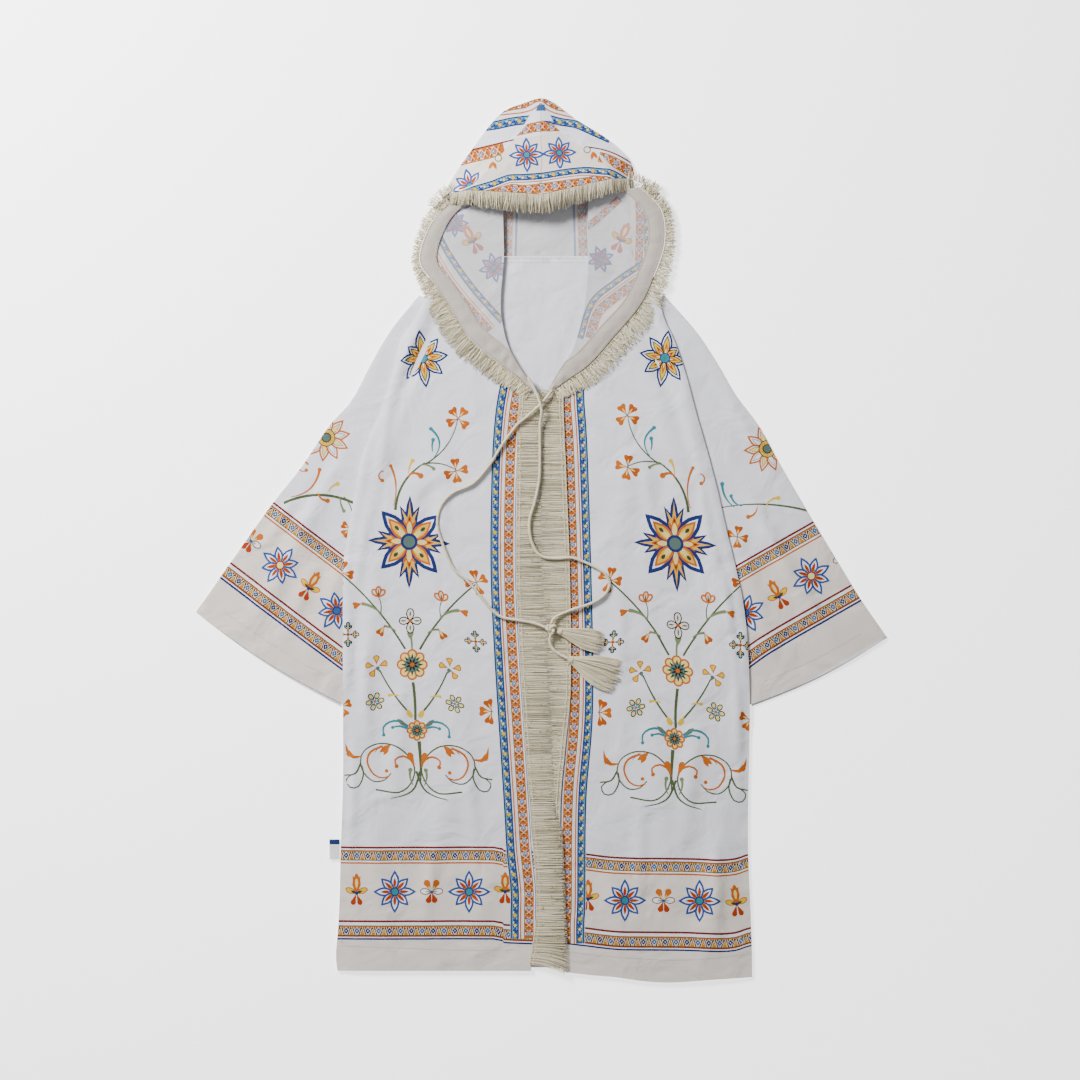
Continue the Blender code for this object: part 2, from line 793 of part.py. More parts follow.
def build_side_fringe(side, table):
    """Fringe along a hood side: its tape butts the free edge, its locks fan outward."""
    stations = []
    for index in range(SIDE_LOCKS):
        point, outward, lift, reach, pitch = side_edge(table, index, LOCK_CENTRE)
        sideways = Vector((-outward.y, outward.x)) * lock_sway(index, SIDE_TIP_SWAY)
        z = ON_FRONT + lift + LOCK_THICK / 2
        middle_reach = SIDE_TAPE_WIDTH + MIDDLE_AT * (reach - SIDE_TAPE_WIDTH)
        middle = point + outward * middle_reach
        tip = point + outward * reach + sideways
        for edge in ROOT_SPAN:
            place, _, edge_lift, _, _ = side_edge(table, index, edge)
            stations.append(
                {
                    "back": tuple(place + outward * SIDE_TAPE_GAP),
                    "front": tuple(place + outward * SIDE_TAPE_WIDTH),
                    "z": ON_FRONT + edge_lift,
                    "thick": TAPE_THICK,
                    "middle": [(middle.x, middle.y, z, pitch * LOCK_FILL, LOCK_THICK)],
                    "tip": [(tip.x, tip.y, z)],
                }
            )
    comb("fringe_hood_" + side, stations, 1, FRINGE_YARN)


def lip_point(share):
    """A point on the crown's lip, from its left fold to its right one, on the cloth's underside."""
    left = crown_grid(True)[-1]
    right = crown_grid(False)[-1][::-1]
    return along_line(left + right[1:], share)


def build_top_fringe():
    """Fringe below the crown's lip: its tape butts the lip, its locks hang forward and down."""
    stations = []
    first, last = LIP_FRINGE
    pitch = (last - first) / TOP_LOCKS
    for index in range(TOP_LOCKS):
        share = first + pitch * (index + LOCK_CENTRE)
        x, y, z = lip_point(share)
        swell = math.sin(math.pi * share)
        length = TOP_LOCK_LENGTH * (TOP_LOCK_SHORTEST + (1 - TOP_LOCK_SHORTEST) * swell)
        drop = TOP_LOCK_DROP * swell
        middle_y = y - SIDE_TAPE_WIDTH - MIDDLE_AT * length
        middle_z = z + TAPE_THICK / 2 - drop / 2
        middle = (x, middle_y, middle_z, TOP_LOCK_WIDTH, LOCK_THICK)
        tip_y = y - SIDE_TAPE_WIDTH - length
        tip = (x + lock_sway(index, TIP_SWAY), tip_y, max(z - drop, TOP_LOCK_FLOOR))
        for edge in ROOT_SPAN:
            edge_x, edge_y, edge_z = lip_point(first + pitch * (index + edge))
            stations.append(
                {
                    "back": (edge_x, edge_y - SEAM_GAP),
                    "front": (edge_x, edge_y - SIDE_TAPE_WIDTH),
                    "z": edge_z,
                    "thick": TAPE_THICK,
                    "middle": [middle],
                    "tip": [tip],
                }
            )
    comb("fringe_hood_top", stations, 1, FRINGE_YARN)


def build_tassel(name, head_x, head_y, end_x, end_y, end_width, head_width, base_z, end_z):
    """A tassel: a flat head whose front face grows two layers of locks that spread like a fan."""
    head = Vector((head_x, head_y))
    axis = (Vector((end_x, end_y)) - head).normalized()
    across = Vector((-axis.y, axis.x))
    length = math.dist((head_x, head_y), (end_x, end_y))
    front = head + axis * TASSEL_HEAD
    drop = base_z - end_z
    lock_width = TASSEL_LOCK_FILL * end_width / TASSEL_LOCKS
    stations = []
    for index in range(TASSEL_LOCKS):
        middles = []
        tips = []
        for layer in (0, 1):
            spread = (index + 0.5) / TASSEL_LOCKS - 0.5 + TASSEL_LAYER_SHIFT * (layer - 0.5)
            side = across * spread * end_width
            level = base_z + TASSEL_LAYER_GAP * (layer - 0.5)
            middle = front + axis * (length - TASSEL_HEAD) / 2 + side * TASSEL_MIDDLE_SPREAD
            tip = head + axis * (length + lock_sway(index + layer, TASSEL_SWAY)) + side
            middles.append((middle.x, middle.y, level - drop / 2, lock_width, TASSEL_LOCK_THICK))
            tips.append((tip.x, tip.y, level - drop))
        for edge in TASSEL_ROOT_SPAN:
            offset = ((index + edge) / TASSEL_LOCKS - 0.5) * head_width
            stations.append(
                {
                    "back": tuple(head + across * offset * TASSEL_NECK_SHARE),
                    "front": tuple(front + across * offset),
                    "z": base_z - TASSEL_THICK / 2,
                    "thick": TASSEL_THICK,
                    "middle": middles,
                    "tip": tips,
                }
            )
    comb(name, stations, 2, FRINGE_YARN)


def build_cord(name, route):
    """A round cord along a smooth curve through its route."""
    count = max(int(sum(math.dist(a, b) for a, b in zip(route, route[1:])) / CORD_STEP), 4)
    curve = bpy.data.curves.new(name, "CURVE")
    curve.dimensions = "3D"
    curve.bevel_depth = CORD_DIAMETER / 2 * MM
    curve.bevel_resolution = 2
    curve.use_fill_caps = True
    line = curve.splines.new("POLY")
    line.points.add(count)
    for i in range(count + 1):
        x, y, z = along_line(route, i / count)
        line.points[i].co = (x * MM, y * MM, z * MM, 1.0)
    new_object(name, curve, FRINGE_YARN)


def build_knot():
    """The knot that ties the two cords: a rounded lump with a waist where the cord wraps it."""
    solid = bmesh.new()
    bmesh.ops.create_uvsphere(solid, u_segments=KNOT_SEGMENTS, v_segments=KNOT_RINGS, radius=1.0)
    for vert in solid.verts:
        waist = 1 - KNOT_WAIST_DEPTH * math.exp(-((vert.co.x / KNOT_WAIST_WIDTH) ** 2))
        x = KNOT_CENTRE[0] + KNOT_SIZE[0] * vert.co.x
        y = KNOT_CENTRE[1] + KNOT_SIZE[1] * vert.co.y * waist
        z = KNOT_CENTRE[2] + KNOT_SIZE[2] * vert.co.z * waist
        vert.co = Vector((x, y, z)) * MM
    finish_mesh("knot", solid, FRINGE_YARN)


def build_label():
    """A folded label caught in the left side seam."""
    side = body_edge(LABEL_TOP_Y - LABEL_HEIGHT / 2, 1) - LABEL_CLEAR
    lower = [
        [(side - LABEL_WIDTH, y, CLOTH), (side, y, CLOTH)]
        for y in (LABEL_TOP_Y, LABEL_TOP_Y - LABEL_HEIGHT)
    ]
    wall("label", lower, raised(lower, LABEL_THICK), LABEL_WHITE)


def main():
    for obj in list(bpy.data.objects):
        bpy.data.objects.remove(obj)
    build_back()
    build_hood_back()
    build_sleeve("sleeve_left", LEFT_SLEEVE_EDGE, 1)
    build_sleeve("sleeve_right", RIGHT_SLEEVE_EDGE, 4)
    build_front("front_left", 1, 2)
    build_front("front_right", 4, 3)
    build_crown()
    build_hood_side("left", LEFT_SIDE)
    build_hood_side("right", RIGHT_SIDE)
    build_front_fringe("left", LEFT_FRINGE)
    build_front_fringe("right", RIGHT_FRINGE)
    build_side_fringe("left", LEFT_SIDE)
    build_side_fringe("right", RIGHT_SIDE)
    build_top_fringe()
    build_cord("cord_left", LEFT_CORD)
    build_cord("cord_right", RIGHT_CORD)
    build_cord("cord_tail", TAIL_CORD)
    build_knot()
    for row in TASSELS:
        build_tassel(*row)
    build_label()


main()
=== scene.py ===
"""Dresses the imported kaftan: printed cotton shells, fringe, drawstring, stitches and studio.

Lengths in the tables are millimetres and meshes are metres. X runs across the garment,
+Y from the hem to the hood and +Z up from the surface that it lies on. Left and right
are as seen from above.
"""

import logging
import math
import random
from collections.abc import Callable, Sequence
from dataclasses import dataclass, field
from enum import Enum
from typing import ClassVar

import bpy
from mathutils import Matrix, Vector
from mathutils.bvhtree import BVHTree
from mathutils.geometry import delaunay_2d_cdt

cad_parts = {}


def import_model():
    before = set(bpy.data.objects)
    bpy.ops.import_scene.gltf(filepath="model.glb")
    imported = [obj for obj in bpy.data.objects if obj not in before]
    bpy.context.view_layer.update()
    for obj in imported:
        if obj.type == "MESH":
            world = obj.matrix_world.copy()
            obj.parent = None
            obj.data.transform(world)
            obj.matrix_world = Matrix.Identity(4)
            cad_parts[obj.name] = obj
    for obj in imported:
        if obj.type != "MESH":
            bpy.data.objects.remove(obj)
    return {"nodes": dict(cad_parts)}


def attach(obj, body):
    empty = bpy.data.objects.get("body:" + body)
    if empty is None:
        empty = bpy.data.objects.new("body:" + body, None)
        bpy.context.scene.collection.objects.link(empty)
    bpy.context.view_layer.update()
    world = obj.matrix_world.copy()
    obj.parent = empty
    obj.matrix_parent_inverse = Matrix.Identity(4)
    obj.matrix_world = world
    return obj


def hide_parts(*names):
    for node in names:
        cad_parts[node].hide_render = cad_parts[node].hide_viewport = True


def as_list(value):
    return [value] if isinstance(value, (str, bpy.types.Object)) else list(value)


LOG = logging.getLogger("kaftan")
MM = 0.001
Point = tuple[float, float]
Place = tuple[float, float, float]
Table = Sequence[Sequence[float]]
Height = Callable[[float, float], float]

# Cloth and how it stacks
CLOTH = 1.2
SEAM_GAP = 0.35
LAYER = CLOTH + SEAM_GAP
ON_FLOOR = 0.0
ON_BACK = LAYER
ON_SLEEVE = 2 * LAYER
ON_FRONT = 3 * LAYER
ON_HOOD_SIDE = 4 * LAYER

FACING_WIDTH = 21.0
CORD_DIAMETER = 4.0

# Undyed thread, casing, yarn, glinting film and label tape; the print's inks are in Ink. The casing's cream
# is darkened partly as painted shade
SEWING = "#a39f9a"
SEWING_DARK = "#6f665c"
# The casing's own cream, darkened throughout partly as painted shade
CASING_CREAM_AND_PAINTED_SHADE = "#a9a096"
YARN_LIGHT = "#c9bfa3"
GLINT = "#f2e2b0"
LABEL_GROUND = "#dddcda"
LABEL_TIP = "#1c2a5c"

# Heights along the body
NECK_Y = 354.0
HEM_Y = -538.0
BACK_HEM_Y = -534.0
UNDERARM_Y = -208.0

# Where the sides of the fronts curl down onto the surface, and how far in their edges lie flat
SIDE_CURL_WIDTH = 26.0
SIDE_CURL_STARTS = UNDERARM_Y - 8.0
SIDE_CURL_EASE = 34.0
SHOULDER_CURL_Y = 330.0
SHOULDER_CURL_EASE = 20.0
EDGE_HOLD = 14.0

# The body at each height: its two side edges and the two edges of the front opening
BODY = (
    # y, left_side, left_opening, right_opening, right_side
    (354, -137, -52, 62, 137),
    (322, -141, -54, 61, 141),
    (296, -148, -55, 59, 147),
    (271, -161, -54, 52, 155),
    (252, -176, -47, 46, 165),
    (220, -184, -38, 33, 176),
    (185, -193, -25, 24, 186),
    (162, -202, -26, 24, 192),
    (127, -216, -28, 25, 202),
    (99, -226, -28, 27, 210),
    (60, -233, -28, 28, 220),
    (25, -239, -29, 30, 228),
    (-25, -247, -29, 31, 240),
    (-75, -248, -27, 32, 251),
    (-125, -248, -25, 32, 257),
    (-208, -248, -20, 31, 260),
    (-288, -248, -15, 23.5, 259),
    (-335, -249, -12, 20.5, 258),
    (-388, -251, -7, 20, 258),
    (-438, -252, -5, 23, 260),
    (-484, -254, -6, 24, 262),
    (-519, -257, -11, 26, 263),
    (-538, -255, -13, 27, 263),
)

# How far the right front's hem hangs below the left one's, across its width
RIGHT_HEM = (
    # x, drop
    (20, 0),
    (58, 5),
    (94, 8),
    (128, 13),
    (163, 14.5),
    (215, 11),
    (263, 8),
)
HEM_DROP_STARTS = -300.0

# The folded upper edge of each sleeve, from the shoulder to the cuff
LEFT_SLEEVE_EDGE = (
    # x, y
    (-153, 306),
    (-189, 262),
    (-214, 219),
    (-238, 174),
    (-264, 145),
    (-300, 92),
    (-337, 45),
    (-391, -31),
    (-432, -90),
)
RIGHT_SLEEVE_EDGE = (
    # x, y
    (153, 306),
    (192, 262),
    (220, 220),
    (242, 182),
    (272, 142),
    (300, 91),
    (338, 26),
    (373, -32),
    (400, -76),
    (432, -122),
)

# How the sleeves end: the seam's top, how far they reach under the fronts, the cuff's bow, and the
# shares of their width where the cloth is held flat
SHOULDER_SEAM_Y = 300.0
SLEEVE_TUCK = 6.0
CUFF_BOW = 6.0
CUFF_BOW_OUT = 0.4
UNDERARM_STEP = 2.0
SEAM_SAMPLES = 60
SEAM_HOLD = 0.3
FOLD_HOLD = 0.2

# The hood's lower layer, flat on the surface
HOOD_BACK = (
    # y, left, right
    (551.5, -8, 6),
    (546, -22, 17),
    (536, -46, 30),
    (526, -57, 42),
    (504, -75, 77),
    (487, -86, 98),
    (466, -102, 110),
    (430, -124, 120),
    (387, -127, 129),
    (354.4, -133, 133),
)

# The hood's crown from its peak to its lip: two outer folds, two creases, the seam between
CROWN = (
    # left_x, left_y, crease_x, crease_y, seam_x, seam_y, crease_x, crease_y, right_x, right_y, rise
    (-12, 549, -6, 550.5, -1, 552.5, 4, 551, 10, 549, 1),
    (-47, 536, -11, 529, -1, 531, 12, 525, 42, 526, 4),
    (-71, 510, -34, 501, -1, 507, 32, 500, 78, 504, 9),
    (-88, 486, -48, 481, 0, 481, 58, 484, 99, 487, 15),
    (-106, 461, -68, 459, 0, 455, 80, 467, 112, 471, 20),
    (-123, 431, -92, 435, 1, 429, 87, 449, 117, 452, 24),
)
# How high the crown's creases stand as a share of its seam, and the stretch of a soft step that
# its flanks follow
CREASE_SHARE = 0.78
FLANK_FIRST = 0.15
FLANK_SPAN = 0.7

# Each side of the hood, folded outward, from the lip to the point of the V: its free edge,
# its inner fold, how far it stands above the layer below, and the reach of its fringe
LEFT_SIDE = (
    # edge_x, edge_y, fold_x, fold_y, lift, fringe
    (-114, 420, -48, 425, 1.5, 12),
    (-138, 394, -48, 400, 1.0, 12),
    (-152, 349, -47, 357, 0.0, 10),
    (-131, 317, -49, 328, 0.0, 20),
    (-113, 289, -51, 305, 0.0, 26),
    (-91, 254, -50, 277, 0.0, 26),
    (-54, 222, -42, 243, 0.0, 24),
    (-33, 206.5, -25.5, 213, 0.0, 20),
    (-12, 187.5, -8.5, 190.5, 0.0, 14),
)
RIGHT_SIDE = (
    # edge_x, edge_y, fold_x, fold_y, lift, fringe
    (122, 440, 58, 430, 1.5, 12),
    (149, 411, 58, 402, 1.0, 12),
    (153, 371, 58, 370, 0.0, 14),
    (140, 330, 58, 338, 0.0, 20),
    (122, 292, 56, 312, 0.0, 26),
    (90, 254, 52, 284, 0.0, 26),
    (60, 220, 40.5, 241, 0.0, 24),
    (36, 202.5, 25, 216.5, 0.0, 20),
    (12, 185.5, 9, 189.5, 0.0, 14),
)

# Soft folds of the fronts and sleeves: ridges that rise above the layer below
FOLDS = (
    # x, y, heading in degrees, half_length, half_width, rise
    (-212, -90, 86, 120, 13, 2.6),
    (-158, 60, 70, 80, 16, 1.8),
    (-120, -330, 84, 120, 18, 2.0),
    (-205, -400, 96, 80, 15, 2.8),
    (-176, 150, 66, 60, 12, 2.2),
    (-75, -455, 80, 55, 14, 1.8),
    (222, -110, 96, 110, 13, 2.8),
    (158, 130, 108, 70, 16, 2.4),
    (150, -330, 95, 110, 19, 2.2),
    (215, -430, 84, 80, 16, 3.2),
    (96, -470, 100, 55, 14, 2.0),
    (105, 60, 84, 90, 16, 1.6),
    (-300, 0, 58, 70, 12, 2.8),
    (-345, -75, 50, 55, 11, 2.2),
    (-262, -70, 72, 60, 10, 2.4),
    (300, -20, 122, 70, 12, 2.8),
    (345, -95, 128, 55, 11, 2.2),
    (272, -100, 110, 60, 10, 2.4),
)

# Fringe: a row for each strand group, from one end of its tape to the other
LEFT_FRINGE = (
    # root_x, y, tip_x, tip_rise
    (-28, 168, -2, -1.2),
    (-31, 134, -3, -1.2),
    (-31, 75, -3, -1.2),
    (-32, -37, 0, -1.2),
    (-27, -150, 6, -1.2),
    (-21, -250, 10.5, -1.2),
    (-16, -318, 13, -1.2),
    (-14, -343, 15, 1.9),
    (-13, -362, 22, 1.9),
    (-8, -410, 25, 1.9),
    (-7, -470, 27, 1.9),
    (-12, -512, 29, 1.9),
    (-15, -530, 30, 1.9),
)
RIGHT_FRINGE = (
    # root_x, y, tip_x, tip_rise
    (27, 172, 0, -1.2),
    (28, 142, -1, -1.2),
    (30, 100, 0, -1.2),
    (35, -37, 2, -1.2),
    (36, -187, 11, -1.2),
    (28, -275, 14.5, -1.2),
    (24, -318, 15, -1.2),
    (23, -345, 12, -1.2),
    (23, -394, 12, -1.2),
    (26, -437, 14, -1.2),
    (28, -500, 16, -1.2),
    (30, -536, 18, -1.2),
)

# The drawstring: the middle of each cord, from the hood's facing to the knot
LEFT_CORD = (
    # x, y, z
    (-17, 203, 9.9),
    (-9, 188, 11.4),
    (-3, 174, 13.6),
    (0, 160, 13.0),
    (-2, 142, 8.6),
    (-2, 106, 7.4),
    (-3, 75, 7.4),
    (-9, 46, 7.6),
    (-15, 24, 7.8),
    (-13, 0, 7.8),
    (-2, -19, 7.6),
    (17, -23, 7.8),
    (37, -22, 8.3),
    (52, -27, 7.6),
    (67, -34, 7.0),
    (79, -42, 6.9),
    (85, -55, 6.9),
    (78, -69, 6.9),
    (62, -79, 7.2),
    (38, -87, 8.3),
    (21, -94, 8.6),
    (14, -99.5, 9.8),
    (12.3, -104.2, 10.8),
)
RIGHT_CORD = (
    # x, y, z
    (13, 187, 9.9),
    (4, 175, 9.3),
    (-6, 165, 8.6),
    (-18, 154, 8.3),
    (-31, 143, 8.3),
    (-49, 119, 7.2),
    (-64, 95, 6.9),
    (-85, 71, 6.9),
    (-112, 58, 6.9),
    (-126, 41, 6.9),
    (-130, 20, 6.9),
    (-125, 0, 6.9),
    (-116, -24, 6.9),
    (-107, -39, 6.9),
    (-96, -48, 6.9),
    (-86, -58, 6.9),
    (-64, -85, 6.9),
    (-50, -96, 7.2),
    (-29, -100, 8.3),
    (-8, -104, 8.6),
    (4.1, -108.6, 10.5),
)
TAIL_CORD = (
    # x, y, z
    (11.6, -117, 10.0),
    (10, -126, 8.6),
    (13, -134, 8.2),
    (20, -141, 8.6),
    (32.5, -147.8, 9.8),
)
KNOT_CENTRE = (12, -111, 11.6)
KNOT_SIZE = (7.5, 6.5, 5.2)

# Tassels: the head's start, the skirt's end and its spread
TASSELS = (
    # name, head_x, head_y, end_x, end_y, end_width, head_width, base_z, end_z
    ("tassel_upper", 19.4, -112.7, 76, -129, 27, 9, 10.2, 6.6),
    ("tassel_lower", 33, -148, 96, -172, 42, 10, 9.8, 7.0),
)


def column(table: Sequence[Sequence], index: int) -> list:
    """One column of a table or of a grid of places."""
    return [row[index] for row in table]


def spline_value(values: Sequence[float], at: int, share: float) -> float:
    """Reads a smooth curve through a row of values.

    Args:
        values: The values that the curve passes through.
        at: The value before the place that is read.
        share: How far the place is towards the next value, from 0 to 1.

    Returns:
        The curve's value there.
    """
    p1, p2 = values[at], values[at + 1]
    p0 = values[at - 1] if at else 2 * p1 - p2
    p3 = values[at + 2] if at + 2 < len(values) else 2 * p2 - p1
    a = 2 * share**3 - 3 * share**2 + 1
    b = share**3 - 2 * share**2 + share
    c = -2 * share**3 + 3 * share**2
    d = share**3 - share**2
    return a * p1 + b * 0.5 * (p2 - p0) + c * p2 + d * 0.5 * (p3 - p1)


def between(table: Table, key: float, index: int) -> float:
    """Reads a column of a table whose first column rises or falls.

    Args:
        table: Rows of numbers.
        key: A value of the first column.
        index: The column to read.

    Returns:
        That column's smooth value at the key.
    """
    if table[0][0] > table[-1][0]:
        table = table[::-1]
    keys = column(table, 0)
    key = min(max(key, keys[0]), keys[-1])
    at = max(i for i in range(len(keys) - 1) if keys[i] <= key)
    return spline_value(column(table, index), at, (key - keys[at]) / (keys[at + 1] - keys[at]))


def row_at(table: Table, share: float) -> list[float]:
    """All columns of a table at a share of its length, counted in rows."""
    place = min(max(share, 0.0), 1.0) * (len(table) - 1)
    at = min(int(place), len(table) - 2)
    return [spline_value(column(table, i), at, place - at) for i in range(len(table[0]))]


def along_line(points: Table, share: float) -> tuple[float, ...]:
    """A point at a share of the length of a line, rounded between its points."""
    lengths = [math.dist(a, b) for a, b in zip(points, points[1:])]
    target = min(max(share, 0.0), 1.0) * sum(lengths)
    at = 0
    while at < len(lengths) - 1 and target > lengths[at]:
        target -= lengths[at]
        at += 1
    step = min(target / lengths[at], 1.0)
    return tuple(spline_value(column(points, i), at, step) for i in range(len(points[0])))


def smooth_line(points: Table, step: float) -> list[tuple[float, ...]]:
    """Points about step apart on a smooth curve through the given ones."""
    found: list[tuple[float, ...]] = []
    for at in range(len(points) - 1):
        count = max(1, round(math.dist(points[at], points[at + 1]) / step))
        for i in range(count):
            row = (spline_value(column(points, k), at, i / count) for k in range(len(points[0])))
            found.append(tuple(row))
    found.append(tuple(points[-1]))
    return found


def ease(value: float) -> float:
    """A soft step from 0 to 1."""
    value = min(max(value, 0.0), 1.0)
    return value * value * (3 - 2 * value)


def ridges(table: Table, x: float, y: float) -> float:
    """How far a table of long soft ridges and troughs lifts the cloth at a place.

    Args:
        table: Rows of x, y, heading in degrees, half length, half width and rise.
        x: The place across the garment.
        y: The place along the garment.

    Returns:
        The lift in millimetres, below 0 in a trough.
    """
    total = 0.0
    for fold_x, fold_y, heading, half_length, half_width, rise in table:
        across_x, across_y = x - fold_x, y - fold_y
        if abs(across_x) + abs(across_y) > 3 * half_length + 3 * half_width:
            continue
        turn = math.radians(heading)
        along = across_x * math.cos(turn) + across_y * math.sin(turn)
        across = across_y * math.cos(turn) - across_x * math.sin(turn)
        total += rise * math.exp(-((along / half_length) ** 2) - (across / half_width) ** 2)
    return total


def body_edge(y: float, index: int) -> float:
    """An edge of the body at a height: 1 and 4 are its sides, 2 and 3 its front opening."""
    return between(BODY, y, index)


def right_hem_drop(x: float, y: float) -> float:
    """How far the right front hangs below the left one at a place."""
    share = ease((HEM_DROP_STARTS - y) / (HEM_DROP_STARTS - HEM_Y))
    return between(RIGHT_HEM, x, 1) * share


def front_bottom(x: float, y: float) -> float:
    """The underside of a front panel, which curls down along the side seam and the shoulder."""
    side = body_edge(y, 1) if x < 0 else body_edge(y, 4)
    from_side = abs(side - x)
    below_arm = ease((SIDE_CURL_STARTS - y) / SIDE_CURL_EASE)
    curl = below_arm * (1 - ease(from_side / SIDE_CURL_WIDTH))
    shoulder = ease((y - SHOULDER_CURL_Y) / SHOULDER_CURL_EASE)
    held = ease(from_side / EDGE_HOLD)
    return ON_SLEEVE - LAYER * max(curl, shoulder) + ridges(FOLDS, x, y) * held


def linear(code: str) -> tuple[float, float, float, float]:
    """Turns an sRGB hex code into the linear colour that a shader reads."""
    parts = (int(code[i : i + 2], 16) / 255 for i in (1, 3, 5))
    red, green, blue = (c / 12.92 if c <= 0.04045 else ((c + 0.055) / 1.055) ** 2.4 for c in parts)
    return red, green, blue, 1.0


class Ink(Enum):
    """Pigments of the print and the two grounds that they lie on."""

    WHITE = "#d3d3da"
    INSIDE = "#bdbcc0"
    CREAM = "#cdc4bc"
    NAVY = "#1a2559"
    BLUE_DEEP = "#28427f"
    BLUE = "#294f80"
    SKY = "#6b8dad"
    TEAL = "#256f7c"
    PALE_TEAL = "#5f8f9c"
    YELLOW = "#c4a22c"
    PALE_YELLOW = "#d0bc74"
    GOLD_PALE = "#c69a38"
    GOLD = "#a8781c"
    ORANGE = "#a95610"
    ORANGE_DEEP = "#9c480c"
    RUST = "#98551b"
    RED_ORANGE = "#92300c"
    DARK_RED = "#641d1e"
    SAGE = "#65724e"
    OLIVE = "#434e30"
    DARK_OLIVE = "#2f3827"
    GREY_TEAL = "#4a5f58"
    BLACK = "#101216"


def signed_area(points: Sequence[Point]) -> float:
    """Area inside a closed line of points, positive where it runs anticlockwise."""
    turned = [*points[1:], points[0]]
    return 0.5 * sum(a[0] * b[1] - b[0] * a[1] for a, b in zip(points, turned))


def area_of(points: Sequence[Point]) -> float:
    """Area inside a closed line of points."""
    return abs(signed_area(points))


# The least size that an inset's corner is divided by, so that a sharp tip doesn't run away
LEAST_CORNER = 0.35


def inset(points: Sequence[Point], depth: float) -> list[Point]:
    """Moves each point of a closed shape inward by a depth, as far as sharp tips allow.

    Args:
        points: The shape's outline.
        depth: The distance in millimetres.

    Returns:
        The smaller outline.
    """
    turn = 1.0 if signed_area(points) > 0 else -1.0
    found = []
    for i, (x, y) in enumerate(points):
        before = points[i - 1]
        after = points[(i + 1) % len(points)]
        first = Vector((x - before[0], y - before[1])).normalized()
        second = Vector((after[0] - x, after[1] - y)).normalized()
        normal = Vector((-(first.y + second.y), first.x + second.x)) * turn
        size = max(normal.length_squared / 2, LEAST_CORNER)
        found.append((x + normal.x * depth / size, y + normal.y * depth / size))
    return found


# Half outlines of the motifs' petals: how far along, and how far to the side, from 0 to 1
LEAF = ((0, 0), (0.12, 0.42), (0.32, 0.86), (0.5, 1.0), (0.68, 0.84), (0.86, 0.42), (1, 0))
DROP = ((0, 0), (0.25, 0.25), (0.5, 0.62), (0.74, 1.0), (0.9, 0.8), (1, 0))
HEART = ((0, 0.06), (0.25, 0.2), (0.5, 0.55), (0.72, 0.94), (0.9, 1.0), (1, 0.6), (0.92, 0))
ROUND = ((0, 0.1), (0.2, 0.62), (0.5, 1.0), (0.8, 0.86), (0.96, 0.45), (1, 0))
TREFOIL = (
    *((0, 0), (0.3, 0.2), (0.42, 0.3), (0.5, 0.85), (0.66, 1.0), (0.76, 0.75)),
    *((0.7, 0.42), (0.84, 0.52), (0.97, 0.3), (1, 0)),
)
FLAME = (
    *((0, 0.2), (0.2, 0.62), (0.42, 1.0), (0.66, 0.88), (0.86, 0.95)),
    *((0.8, 0.55), (0.9, 0.42), (1, 0)),
)
SPEAR = ((0.06, 0.58), (0.3, 0.7), (0.5, 0.8), (0.78, 1.0), (0.64, 0.4), (0.8, 0.3), (1, 0))


# Points of a shape nearer to each other than this, in millimetres, count as one
SAME_PLACE = 0.02
# The length of a curved stroke's pieces
STROKE_STEP = 5.0


